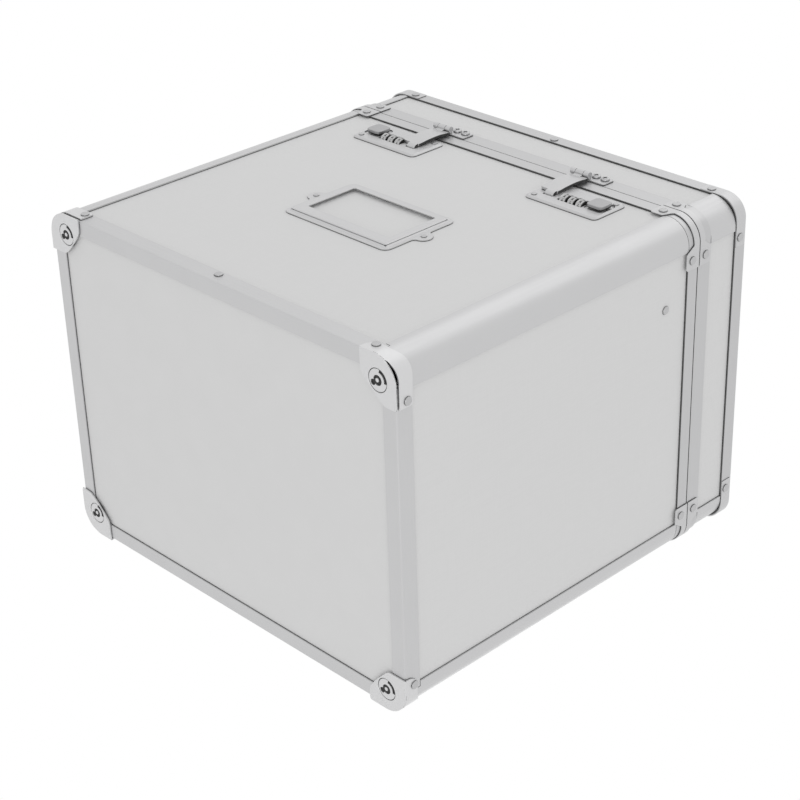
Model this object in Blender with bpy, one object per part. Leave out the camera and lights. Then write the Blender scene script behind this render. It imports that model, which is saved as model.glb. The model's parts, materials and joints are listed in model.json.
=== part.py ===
"""Lockable file box: light panels held in aluminium edging, a hinged lid, two combination latches.

The box stands upright on its four foot caps. +Z is up, the front with the latches and the label
holder faces -Y, and the origin lies on the standing surface, under the middle of the bounding box.
Sizes are in metres. Pieces are drawn in the case's own frame, whose zero is the underside of the
base angles at the middle of the box, and one empty carries them to their place.
"""

import math

import bmesh
import bpy
from mathutils import Vector

# Whole box, over the aluminium edging
WIDTH = 0.350
DEPTH = 0.263
HEIGHT = 0.345
LID_DEPTH = 0.0535

# Running and seating clearances
GAP = 0.0003
CUT_OVERRUN = 0.004
JOIN_OVERLAP = 0.0004

# Sheet and board
EDGE_WALL = 0.0012
BOARD = 0.003
SHEET = 0.001

# Edging
CASE_CORNER_RADIUS = 0.018
LID_CORNER_RADIUS = 0.0205
FRAME_CORNER_RADIUS = 0.0165
FRONT_FLANGE = 0.034
SIDE_FLANGE = 0.022
LID_SIDE_FLANGE = 0.0235
INNER_LIP_REACH = 0.022
CORNER_WALL = 0.0015
WEB = 0.0015
BASE_FLANGE = 0.0135
BASE_EDGE_RADIUS = 0.0015
CASE_RIM_HEIGHT = 0.0135
LID_RIM_HEIGHT = 0.0132
RIM_INNER_HEIGHT = 0.011
LID_FRAME_HEIGHT = 0.0135
LID_FRAME_FLANGE = 0.0135
INNER_PANEL_CORNER = 0.016

# Rivets
RIVET_RADIUS = 0.003
RIVET_HEIGHT = 0.0011
SMALL_RIVET_RADIUS = 0.0021
SMALL_RIVET_HEIGHT = 0.0008
CORNER_RIVET_INSET_X = 0.0260
CORNER_RIVET_INSET_Y = 0.0285
BASE_RIVET_HEIGHT = 0.0090

# Foot caps
FOOT_REACH_X = 0.0355
FOOT_REACH_Y = 0.0335
FOOT_WALL_HEIGHT = 0.0135
FOOT_INNER_RADIUS = 0.020
FOOT_FOLD_RADIUS = 0.025
FOOT_FOLD_SLIT = 0.0005
FOOT_TIP_RADIUS = 0.002
DIMPLE_INSET_X = 0.0145
DIMPLE_INSET_Y = 0.0165
DIMPLE_RADIUS = 0.0085
DIMPLE_FLOOR_RADIUS = 0.0055
DIMPLE_DEPTH = 0.0011
FOOT_SCREW_RADIUS = 0.0036
FOOT_SCREW_HEIGHT = 0.0009

# Clips over the rims
CLIP_SHEET = 0.0008
CLIP_TAB_REACH_X = 0.033
CLIP_TAB_REACH_Y = 0.0355
CLIP_NECK_HEIGHT = 0.0055
CLIP_TAB_HEIGHT = 0.013
CLIP_NECK_RUN = 0.005
CLIP_TIP_RUN = 0.0025
CLIP_TIP_CUT = 0.002
CLIP_RIVET_DROP = 0.0075
CLIP_RIVET_RISE = 0.0062
FRAME_CAP_SHEET = 0.0007

# Label holder, on the front
LABEL_HALF_WIDTH = 0.052
LABEL_HALF_HEIGHT = 0.034
LABEL_CENTRE_X = 0.0005
LABEL_DROP = 0.1475
LABEL_WINDOW_HALF_WIDTH = 0.041
LABEL_WINDOW_HALF_HEIGHT = 0.0225
LABEL_WINDOW_RISE = 0.0025
LABEL_CORNER_RADIUS = 0.004
LABEL_SHEET = 0.0007
LABEL_RAISE = 0.0026
LABEL_BASE_FLANGE = 0.0028
LABEL_BEVEL = 0.0026
LABEL_EAR_RADIUS = 0.0068
LABEL_EAR_OFFSET = 0.0035

# Latches. Each has its place in from the side and below the seam, and its pieces theirs from its middle
LOCK_INSET = 0.0858
LOCK_DROP = 0.0320
LOCK_HALF_WIDTH = 0.033
LOCK_HALF_HEIGHT = 0.017
LOCK_CORNER_RADIUS = 0.0035
LOCK_PLATE = 0.0018
LOCK_RIVET_INSET = 0.0052
TONGUE_OFFSET = -0.0195
TONGUE_SLOT_HALF_WIDTH = 0.0047
TONGUE_SLOT_FLOOR_DROP = 0.0392
DIAL_OFFSET = 0.0016
DIAL_DROP = 0.0343
DIAL_PITCH = 0.0074
DIAL_COUNT = 3
DIAL_RADIUS = 0.0062
DIAL_BAND_RADIUS = 0.0058
DIAL_WIDTH = 0.0050
DIAL_RIM_WIDTH = 0.0010
DIAL_PROUD = 0.0026
DIAL_CLEARANCE = 0.0006
AXLE_RADIUS = 0.0015
WINDOW_LIP = 0.0007
HOUSING_WALL = 0.001
HOUSING_END_SPACE = 0.0014
BUTTON_OFFSET = 0.0218
BUTTON_DROP = 0.0310
BUTTON_HALF_WIDTH = 0.0070
BUTTON_HALF_HEIGHT = 0.0068
BUTTON_CORNER_CUT = 0.0026
BUTTON_TOP_BEVEL = 0.0006
BUTTON_PROUD = 0.0038
BUTTON_THICKNESS = 0.0022
BUTTON_TRAVEL = 0.005
BUTTON_STEM_HALF = 0.0022
DISH_DEPTH = 0.0009
DISH_HALF_HEIGHT = 0.0088
DISH_INNER_REACH = 0.0088
DISH_OUTER_REACH = 0.0092
DISH_CORNER_RADIUS = 0.004

# Hasps and their hinges on the lid
HASP_AXIS_RISE = 0.0020
HASP_AXIS_PROUD = 0.0040
HASP_BARREL_RADIUS = 0.0026
HASP_BORE_RADIUS = 0.0014
HASP_PIN_RADIUS = 0.0011
HASP_BARREL_START = -0.0130
HASP_KNUCKLE_WIDTH = 0.0046
HASP_BARREL_LENGTH = 0.0170
HASP_LEAF_END = 0.0180
HASP_LEAF_SHEET = 0.0008
HASP_LEAF_TOP_RISE = 0.0125
HASP_SCREW_OFFSET = 0.0048
HASP_SCREW_PITCH = 0.0083
HASP_SCREW_RISE = 0.0070
HASP_SCREW_RADIUS = 0.0032
HASP_SCREW_HEIGHT = 0.0014
HASP_SHEET = 0.0018
HASP_ARM_OFFSET = -0.0029
HASP_ARM_HALF_WIDTH = 0.0079
HASP_TONGUE_HALF_WIDTH = 0.0040
# Middle lines of the arm, its neck and its tongue: height off the front face, drop below the seam
HASP_ARM_LINE = (
    (0.0054, 0.0013),
    (0.0051, 0.0070),
    (0.0042, 0.0145),
    (0.0030, 0.0235),
    (0.0022, 0.0305),
    (0.0020, 0.0340),
)
HASP_NECK_LINE = (
    (0.0056, -0.0020),
    (0.0055, 0.0005),
    (0.0053, 0.0045),
)
HASP_TONGUE_LINE = (
    (0.0022, 0.0310),
    (0.0019, 0.0347),
    (0.0010, 0.0365),
    (-0.0009, 0.0370),
)

# Back hinge
HINGE_END_INSET = 0.050
HINGE_KNUCKLES = 9
HINGE_BARREL_RADIUS = 0.003
HINGE_BORE_RADIUS = 0.0015
HINGE_PIN_RADIUS = 0.0012
HINGE_LEAF_HEIGHT = 0.0130
HINGE_LEAF_RECESS = 0.0004

# File rails inside the case
RAIL_INSET = 0.017
RAIL_SHEET = 0.0016
RAIL_DROP = 0.0155
RAIL_HEIGHT = 0.014
RAIL_TAB = 0.016

# Lid stays, one parallelogram each side
STAY_CASE_INSET = 0.0585
STAY_CASE_DROP = 0.0325
STAY_LID_INSET = 0.0355
STAY_LID_RISE = 0.0255
STAY_SHEET = 0.0015
STAY_HALF_WIDTH = 0.006
STAY_PIN_RADIUS = 0.0025
STAY_HEAD_RADIUS = 0.004
STAY_HEAD = 0.0015
STAY_CLEARANCE = 0.0013

# Handle on the lid
HANDLE_PIVOT_Y = 0.018
HANDLE_PIVOT_RISE = 0.0075
HANDLE_HALF_SPAN = 0.058
HANDLE_REACH = 0.036
HANDLE_ARM_HALF = 0.0035
HANDLE_GRIP_HALF = 0.0052
HANDLE_GRIP_HALF_LENGTH = 0.046
HANDLE_CORNER_RADIUS = 0.012
HANDLE_PIN_RADIUS = 0.0022
HANDLE_BORE_RADIUS = 0.0025
BRACKET_HALF_WIDTH = 0.0075
BRACKET_HALF_DEPTH = 0.016
BRACKET_BASE = 0.0015
BRACKET_EAR = 0.0022
BRACKET_EAR_RADIUS = 0.0052

# How finely round shapes are drawn
CORNER_STEPS = 6
RIVET_SIDES = 10
ROUND_SIDES = 20
BORE_SIDES = 12
BAR_SIDES = 12

HALF_WIDTH = WIDTH / 2
HALF_DEPTH = DEPTH / 2
SEAM_HEIGHT = HEIGHT - LID_DEPTH
CORNER_RIVET_X = HALF_WIDTH - CORNER_RIVET_INSET_X
CORNER_RIVET_Y = HALF_DEPTH - CORNER_RIVET_INSET_Y
LABEL_CENTRE_Z = SEAM_HEIGHT - LABEL_DROP
LABEL_WINDOW_CENTRE_Z = LABEL_CENTRE_Z + LABEL_WINDOW_RISE
LOCK_CENTRE_X = HALF_WIDTH - LOCK_INSET
LOCK_CENTRE_Z = SEAM_HEIGHT - LOCK_DROP
TONGUE_CENTRE_X = LOCK_CENTRE_X + TONGUE_OFFSET
TONGUE_SLOT_FLOOR_Z = SEAM_HEIGHT - TONGUE_SLOT_FLOOR_DROP
DIAL_CENTRE_X = LOCK_CENTRE_X + DIAL_OFFSET
DIAL_CENTRE_Z = SEAM_HEIGHT - DIAL_DROP
BUTTON_CENTRE_X = LOCK_CENTRE_X + BUTTON_OFFSET
BUTTON_CENTRE_Z = SEAM_HEIGHT - BUTTON_DROP
HASP_AXIS_Z = SEAM_HEIGHT + HASP_AXIS_RISE
HASP_LEAF_TOP_Z = SEAM_HEIGHT + HASP_LEAF_TOP_RISE
HASP_SCREW_Z = SEAM_HEIGHT + HASP_SCREW_RISE
HINGE_LENGTH = WIDTH - 2 * HINGE_END_INSET
RAIL_X = HALF_WIDTH - RAIL_INSET
RAIL_TOP_Z = SEAM_HEIGHT - RAIL_DROP
STAY_CASE_Y = STAY_CASE_INSET - HALF_DEPTH
STAY_CASE_Z = SEAM_HEIGHT - STAY_CASE_DROP
STAY_LID_Y = HALF_DEPTH - STAY_LID_INSET
STAY_LID_Z = SEAM_HEIGHT + STAY_LID_RISE
PANEL_FACE = EDGE_WALL + GAP
PANEL_BACK = PANEL_FACE + BOARD
GROOVE_BACK = PANEL_BACK + GAP
EDGE_BACK = GROOVE_BACK + EDGE_WALL
CAP_OUTSIDE = GAP + SHEET
CASE_RIM_BASE = SEAM_HEIGHT - CASE_RIM_HEIGHT
LID_BASE = SEAM_HEIGHT + GAP
LID_RIM_TOP = LID_BASE + LID_RIM_HEIGHT
LID_FRAME_BASE = HEIGHT - LID_FRAME_HEIGHT
HINGE_AXIS_Y = HALF_DEPTH + GAP + HINGE_BARREL_RADIUS
HINGE_AXIS_Z = SEAM_HEIGHT + GAP / 2
PLATE_FACE = LOCK_PLATE - PANEL_FACE + GAP
FRONT_REACH = HASP_AXIS_PROUD + HASP_BARREL_RADIUS
BACK_REACH = HINGE_AXIS_Y + HINGE_BARREL_RADIUS - HALF_DEPTH
SIDES = (("left", -1), ("right", 1))
ENDS = (("front", -1), ("back", 1))

# Colour, roughness and metallic value of each finish
FINISHES = {
    "edging": ((0.60, 0.60, 0.61), 0.30, 0.9),
    "panel": ((0.66, 0.66, 0.66), 0.50, 0.1),
    "chrome": ((0.72, 0.72, 0.73), 0.15, 1.0),
    "dial": ((0.55, 0.55, 0.55), 0.40, 0.3),
    "steel": ((0.50, 0.50, 0.51), 0.35, 0.9),
    "grip": ((0.05, 0.05, 0.05), 0.55, 0.0),
}

places = {}


def clear_scene():
    for thing in list(bpy.data.objects):
        bpy.data.objects.remove(thing, do_unlink=True)


def material_for(node, finish):
    colour, roughness, metallic = FINISHES[finish]
    material = bpy.data.materials.new(node)
    material.use_nodes = True
    shader = material.node_tree.nodes["Principled BSDF"]
    shader.inputs["Base Color"].default_value = (*colour, 1.0)
    shader.inputs["Roughness"].default_value = roughness
    shader.inputs["Metallic"].default_value = metallic
    return material


def empty_at(name, point, parent=None):
    """An empty at a point of the case's frame, on the axis of the joint that it stands for."""
    empty = bpy.data.objects.new(name, None)
    bpy.context.scene.collection.objects.link(empty)
    places[name] = Vector(point)
    empty.location = places[name]
    if parent:
        empty.parent = parent
        empty.location = places[name] - places[parent.name]
    return empty


def front(proud, z):
    """The Y of a height off the front face, with its Z."""
    return -HALF_DEPTH - proud, z


# The three ways an outline is laid: its own two coordinates, and the one it is extruded along
def lay_flat(u, v, w):
    return (u, v, w)


def lay_facing_front(u, v, w):
    return (u, w, v)


def lay_across(u, v, w):
    return (w, u, v)


def loop_at(outline, w, lay):
    return [Vector(lay(u, v, w)) for u, v in outline]


def build(name, loops, finish, parent, ringed=False, helper=False):
    """A closed solid skinned over loops of equal length, capped at both ends unless it is a ring."""
    mesh = bpy.data.meshes.new(name)
    bm = bmesh.new()
    rows = [[bm.verts.new(point) for point in loop] for loop in loops]
    count = len(rows[0])
    pairs = list(zip(rows, rows[1:]))
    if ringed:
        pairs.append((rows[-1], rows[0]))
    for low, high in pairs:
        for i in range(count):
            j = (i + 1) % count
            bm.faces.new((low[i], low[j], high[j], high[i]))
    if not ringed:
        bm.faces.new(list(reversed(rows[0])))
        bm.faces.new(rows[-1])
    bmesh.ops.recalc_face_normals(bm, faces=bm.faces)
    bm.to_mesh(mesh)
    bm.free()
    thing = bpy.data.objects.new(name, mesh)
    bpy.context.scene.collection.objects.link(thing)
    thing.parent = parent
    thing.location = -places[parent.name]
    if helper:
        thing.hide_render = True
        thing.display_type = "WIRE"
    else:
        mesh.materials.append(material_for(name, finish))
        mesh.shade_smooth()
        mesh.set_sharp_from_angle(angle=math.radians(35))
    return thing


def prism(name, outline, low, high, lay, finish, parent, helper=False):
    return build(name, [loop_at(outline, low, lay), loop_at(outline, high, lay)], finish, parent, helper=helper)


def helper_prism(name, outline, low, high, lay, parent):
    return prism(name, outline, low, high, lay, None, parent, helper=True)


def combine(target, operation, others):
    for other in others:
        modifier = target.modifiers.new(other.name, "BOOLEAN")
        modifier.operation = operation
        modifier.object = other


def join(target, *others):
    combine(target, "UNION", others)


def cut(target, *others):
    combine(target, "DIFFERENCE", others)


def rectangle(u0, u1, v0, v1):
    return [(u0, v0), (u1, v0), (u1, v1), (u0, v1)]


def circle(u, v, radius, sides):
    return [
        (u + radius * math.cos(2 * math.pi * i / sides), v + radius * math.sin(2 * math.pi * i / sides))
        for i in range(sides)
    ]


def rounded(half_u, half_v, radius, centre=(0, 0), steps=CORNER_STEPS):
    """A rounded rectangle, anticlockwise."""
    points = []
    for turn, (su, sv) in enumerate(((1, -1), (1, 1), (-1, 1), (-1, -1))):
        for step in range(steps + 1):
            angle = math.radians(90) * (turn - 1 + step / steps)
            points.append(
                (
                    centre[0] + su * (half_u - radius) + radius * math.cos(angle),
                    centre[1] + sv * (half_v - radius) + radius * math.sin(angle),
                )
            )
    return points


def cornered(u0, u1, v0, v1, radii, steps=CORNER_STEPS):
    """A rectangle whose corners, anticlockwise from the high-u low-v one, have radii of their own."""
    points = []
    corners = ((u1, v0, 1, -1), (u1, v1, 1, 1), (u0, v1, -1, 1), (u0, v0, -1, -1))
    for turn, ((u, v, su, sv), radius) in enumerate(zip(corners, radii)):
        for step in range(steps + 1):
            angle = math.radians(90) * (turn - 1 + step / steps)
            points.append((u - su * radius + radius * math.cos(angle), v - sv * radius + radius * math.sin(angle)))
    return points


def bar_outline(start, end, radius, sides=BAR_SIDES):
    """A straight bar with round ends."""
    along = math.atan2(end[1] - start[1], end[0] - start[0])
    points = []
    for centre, turn in ((end, -1), (start, 1)):
        for i in range(sides // 2 + 1):
            angle = along + math.pi * (turn / 2 + 2 * i / sides)
            points.append((centre[0] + radius * math.cos(angle), centre[1] + radius * math.sin(angle)))
    return points


def thick_line(line, thickness):
    """The outline of a strip of sheet whose middle runs along a line of points."""
    left, right = [], []
    for i, (u, v) in enumerate(line):
        before = Vector(line[max(i - 1, 0)])
        after = Vector(line[min(i + 1, len(line) - 1)])
        along = (after - before).normalized()
        left.append((u - along.y * thickness / 2, v + along.x * thickness / 2))
        right.append((u + along.y * thickness / 2, v - along.x * thickness / 2))
    return left + right[::-1]


def rivet(name, lay, at, face, outward, parent, radius=RIVET_RADIUS, height=RIVET_HEIGHT):
    """A low domed head that stands on a face, sunk a little into it, to be joined to its carrier."""
    shape = ((radius, -JOIN_OVERLAP), (radius, height * 0.45), (radius * 0.72, height * 0.88), (radius * 0.3, height))
    loops = [
        loop_at(circle(at[0], at[1], r, RIVET_SIDES), face + outward * w, lay)
        for r, w in shape
    ]
    return build(name, loops, None, parent, helper=True)


def make_panels(case, lid):
    inside_x = HALF_WIDTH - GROOVE_BACK
    inside_y = HALF_DEPTH - GROOVE_BACK
    prism("case_bottom_panel", rounded(inside_x, inside_y, INNER_PANEL_CORNER), PANEL_FACE, PANEL_BACK, lay_flat,
          "panel", case)
    prism("lid_top_panel", rounded(inside_x, inside_y, INNER_PANEL_CORNER), HEIGHT - PANEL_BACK,
          HEIGHT - PANEL_FACE, lay_flat, "panel", lid)
    walls = (
        ("case", case, PANEL_FACE, SEAM_HEIGHT - PANEL_FACE, CASE_CORNER_RADIUS),
        ("lid", lid, LID_BASE + PANEL_FACE, HEIGHT - PANEL_FACE, LID_CORNER_RADIUS),
    )
    made = {}
    for shell, parent, low, high, radius in walls:
        half_x = HALF_WIDTH - radius - GAP
        half_y = HALF_DEPTH - radius - GAP
        for end, sign in ENDS:
            outer, inner = sign * (HALF_DEPTH - PANEL_FACE), sign * (HALF_DEPTH - PANEL_BACK)
            name = f"{shell}_{end}_panel"
            made[name] = prism(name, rectangle(-half_x, half_x, low, high), inner, outer, lay_facing_front,
                               "panel", parent)
        for side, sign in SIDES:
            outer, inner = sign * (HALF_WIDTH - PANEL_FACE), sign * (HALF_WIDTH - PANEL_BACK)
            name = f"{shell}_{side}_panel"
            made[name] = prism(name, rectangle(-half_y, half_y, low, high), inner, outer, lay_across,
                               "panel", parent)
    return made


def corner_section(radius, front_flange, side_flange):
    """A corner extrusion as insets from the sharp corner: round skin, and a groove for each panel."""
    outer = [
        (radius - radius * math.sin(t), radius - radius * math.cos(t))
        for t in (math.radians(90) * i / CORNER_STEPS for i in range(CORNER_STEPS + 1))
    ]
    skin = radius - CORNER_WALL
    start = math.asin(WEB / skin)
    span = math.radians(90) - 2 * start
    inner = [
        (radius - skin * math.sin(t), radius - skin * math.cos(t))
        for t in (start + span * (1 - i / CORNER_STEPS) for i in range(CORNER_STEPS + 1))
    ]
    lip = max(INNER_LIP_REACH, side_flange)
    side = [
        (0, side_flange),
        (EDGE_WALL, side_flange),
        (EDGE_WALL, radius),
        (GROOVE_BACK, radius),
        (GROOVE_BACK, lip),
        (EDGE_BACK, lip),
        (EDGE_BACK, radius - WEB),
    ]
    facing = [
        (radius - WEB, EDGE_BACK),
        (lip, EDGE_BACK),
        (lip, GROOVE_BACK),
        (radius, GROOVE_BACK),
        (radius, EDGE_WALL),
        (front_flange, EDGE_WALL),
        (front_flange, 0),
    ]
    return outer + side + inner + facing


def angle_clearances(place, sx, sy, case):
    """Cutters that shorten a case corner's two flanges, so that the base angles pass below them."""
    depth = EDGE_WALL + GAP / 2
    for kind, (a0, a1), (b0, b1) in (
        ("front", (CASE_CORNER_RADIUS, FRONT_FLANGE + CUT_OVERRUN), (-CUT_OVERRUN, depth)),
        ("side", (-CUT_OVERRUN, depth), (CASE_CORNER_RADIUS, SIDE_FLANGE + CUT_OVERRUN)),
    ):
        us = sorted((sx * (HALF_WIDTH - a0), sx * (HALF_WIDTH - a1)))
        vs = sorted((sy * (HALF_DEPTH - b0), sy * (HALF_DEPTH - b1)))
        yield helper_prism(f"angle_clearance_{kind}_{place}", rectangle(*us, *vs), PANEL_BACK - CUT_OVERRUN,
                           BASE_FLANGE + GAP, lay_flat, case)


def make_corners(case, lid):
    kinds = (
        ("case", case, CASE_CORNER_RADIUS, SIDE_FLANGE, PANEL_BACK + GAP, CASE_RIM_BASE - GAP),
        ("lid", lid, LID_CORNER_RADIUS, LID_SIDE_FLANGE, LID_RIM_TOP + GAP, LID_FRAME_BASE - GAP),
    )
    for shell, parent, radius, side_flange, low, high in kinds:
        section = corner_section(radius, FRONT_FLANGE, side_flange)
        for end, sy in ENDS:
            for side, sx in SIDES:
                outline = [(sx * (HALF_WIDTH - a), sy * (HALF_DEPTH - b)) for a, b in section]
                corner = prism(f"{shell}_corner_{end}_{side}", outline, low, high, lay_flat, "edging", parent)
                if shell == "case":
                    cut(corner, *angle_clearances(f"{end}_{side}", sx, sy, parent))


def make_base_angles(case):
    edge = [
        (BASE_EDGE_RADIUS * (1 - math.sin(t)), BASE_EDGE_RADIUS * (1 - math.cos(t)))
        for t in (math.radians(90) * i / 3 for i in range(4))
    ]
    section = [
        *reversed(edge),
        (BASE_FLANGE, 0),
        (BASE_FLANGE, EDGE_WALL),
        (EDGE_WALL, EDGE_WALL),
        (EDGE_WALL, BASE_FLANGE),
        (0, BASE_FLANGE),
    ]
    long_half = HALF_WIDTH - CASE_CORNER_RADIUS - GAP
    short_half = HALF_DEPTH - CASE_CORNER_RADIUS - GAP
    angles = {}
    for end, sign in ENDS:
        outline = [(sign * (HALF_DEPTH - a), z) for a, z in section]
        angle = prism(f"base_angle_{end}", outline, -long_half, long_half, lay_across, "edging", case)
        rise = rivet(f"base_rivet_{end}", lay_facing_front, (0, BASE_RIVET_HEIGHT), sign * HALF_DEPTH, sign, case)
        join(angle, rise)
        angles[end] = angle
    for side, sign in SIDES:
        outline = [(sign * (HALF_WIDTH - a), z) for a, z in section]
        angles[side] = prism(f"base_angle_{side}", outline, -short_half, short_half, lay_facing_front, "edging",
                             case)
    return angles


def frame_loops(section, radius):
    """Loops of a frame that runs round the box, from its section as (inset, height)."""
    return [
        loop_at(rounded(HALF_WIDTH - inset, HALF_DEPTH - inset, max(radius - inset, GAP)), z, lay_flat)
        for inset, z in section
    ]


def corner_path(radius, offset, reach_x, reach_y):
    """Stations round one corner, as (inset x, inset y, share of the way), on a surface set off outwards."""
    stations = [(reach_x, -offset), (reach_x - CLIP_TIP_RUN, -offset), (radius + CLIP_NECK_RUN, -offset)]
    for i in range(CORNER_STEPS + 1):
        t = math.radians(90) * i / CORNER_STEPS
        reach = radius + offset
        stations.append((radius - reach * math.sin(t), radius - reach * math.cos(t)))
    stations += [(-offset, radius + CLIP_NECK_RUN), (-offset, reach_y - CLIP_TIP_RUN), (-offset, reach_y)]
    return stations


def corner_strap(name, radius, inside, sheet, reaches, heights, signs, finish, parent, helper=False):
    """A strap of sheet bent round a corner. heights gives its (low, high) at each station of the path."""
    inner = corner_path(radius, inside, *reaches)
    outer = corner_path(radius, inside + sheet, *reaches)
    sx, sy = signs
    loops = []
    for (ai, bi), (ao, bo), (low, high) in zip(inner, outer, heights):
        near = sx * (HALF_WIDTH - ai), sy * (HALF_DEPTH - bi)
        far = sx * (HALF_WIDTH - ao), sy * (HALF_DEPTH - bo)
        loops.append([Vector((*near, low)), Vector((*far, low)), Vector((*far, high)), Vector((*near, high))])
    return build(name, loops, finish, parent, helper=helper)


def clip_heights(edge, direction):
    """Low and high edges of a rim clip: full height at the tabs, narrow round the corner."""
    tab = edge + direction * CLIP_TAB_HEIGHT
    tip = tab - direction * CLIP_TIP_CUT
    neck = edge + direction * CLIP_NECK_HEIGHT
    far = [tip, tab, tab] + [neck] * (CORNER_STEPS + 1) + [tab, tab, tip]
    return [tuple(sorted((edge, value))) for value in far]


def make_rims(case, lid):
    base = CASE_RIM_BASE
    web = SEAM_HEIGHT - EDGE_WALL
    case_section = (
        (0, base),
        (0, SEAM_HEIGHT),
        (EDGE_BACK, SEAM_HEIGHT),
        (EDGE_BACK, SEAM_HEIGHT - RIM_INNER_HEIGHT),
        (GROOVE_BACK, SEAM_HEIGHT - RIM_INNER_HEIGHT),
        (GROOVE_BACK, web),
        (EDGE_WALL, web),
        (EDGE_WALL, base),
    )
    build("case_rim", frame_loops(case_section, CASE_CORNER_RADIUS), "edging", case, ringed=True)
    web = LID_BASE + EDGE_WALL
    lid_section = (
        (0, LID_BASE),
        (0, LID_RIM_TOP),
        (EDGE_WALL, LID_RIM_TOP),
        (EDGE_WALL, web),
        (GROOVE_BACK, web),
        (GROOVE_BACK, LID_BASE + RIM_INNER_HEIGHT),
        (EDGE_BACK, LID_BASE + RIM_INNER_HEIGHT),
        (EDGE_BACK, LID_BASE),
    )
    lid_rim = build("lid_rim", frame_loops(lid_section, CASE_CORNER_RADIUS), "edging", lid, ringed=True)
    flange = HEIGHT - EDGE_WALL
    top_section = (
        (0, LID_FRAME_BASE),
        (0, HEIGHT - BASE_EDGE_RADIUS / 2),
        (BASE_EDGE_RADIUS / 2, HEIGHT),
        (LID_FRAME_FLANGE, HEIGHT),
        (LID_FRAME_FLANGE, flange),
        (EDGE_WALL, flange),
        (EDGE_WALL, LID_FRAME_BASE),
    )
    top = build("lid_top_frame", frame_loops(top_section, FRAME_CORNER_RADIUS), "edging", lid, ringed=True)
    dress_rims(case, lid, lid_rim, top)


def dress_rims(case, lid, lid_rim, top):
    reaches = (CLIP_TAB_REACH_X, CLIP_TAB_REACH_Y)
    face_y = HALF_DEPTH + GAP + CLIP_SHEET
    face_x = HALF_WIDTH + GAP + CLIP_SHEET
    seam_case = SEAM_HEIGHT - GAP
    seam_lid = LID_BASE + GAP
    full = [(LID_FRAME_BASE, HEIGHT - BASE_EDGE_RADIUS)] * (CORNER_STEPS + 7)
    frame_y = HALF_DEPTH + FRAME_CAP_SHEET
    frame_x = HALF_WIDTH + FRAME_CAP_SHEET
    middle = (LID_FRAME_BASE + HEIGHT) / 2 - RIVET_HEIGHT
    for end, sy in ENDS:
        for side, sx in SIDES:
            place = f"{end}_{side}"
            clip = corner_strap(f"case_clip_{place}", CASE_CORNER_RADIUS, GAP, CLIP_SHEET, reaches,
                                clip_heights(seam_case, -1), (sx, sy), "chrome", case)
            rise = seam_case - CLIP_RIVET_DROP
            join(
                clip,
                rivet(f"clip_rivet_a_{place}", lay_facing_front, (sx * CORNER_RIVET_X, rise), sy * face_y, sy, case),
                rivet(f"clip_rivet_b_{place}", lay_across, (sy * CORNER_RIVET_Y, rise), sx * face_x, sx, case),
            )
            strap = corner_strap(f"lid_clip_{place}", CASE_CORNER_RADIUS, -JOIN_OVERLAP,
                                 GAP + JOIN_OVERLAP + CLIP_SHEET, reaches, clip_heights(seam_lid, 1), (sx, sy),
                                 None, lid, helper=True)
            rise = seam_lid + CLIP_RIVET_RISE
            join(
                lid_rim,
                strap,
                rivet(f"lid_rivet_a_{place}", lay_facing_front, (sx * CORNER_RIVET_X, rise), sy * face_y, sy, lid),
                rivet(f"lid_rivet_b_{place}", lay_across, (sy * CORNER_RIVET_Y, rise), sx * face_x, sx, lid),
            )
            cap = corner_strap(f"frame_cap_{place}", FRAME_CORNER_RADIUS, -JOIN_OVERLAP,
                               FRAME_CAP_SHEET + JOIN_OVERLAP, reaches, full, (sx, sy), None, lid, helper=True)
            join(
                top,
                cap,
                rivet(f"frame_rivet_a_{place}", lay_facing_front, (sx * CORNER_RIVET_X, middle), sy * frame_y, sy,
                      lid),
                rivet(f"frame_rivet_b_{place}", lay_across, (sy * CORNER_RIVET_Y, middle), sx * frame_x, sx, lid),
            )
        join(top, rivet(f"frame_rivet_middle_{end}", lay_facing_front, (0, middle), sy * HALF_DEPTH, sy, lid))


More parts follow.
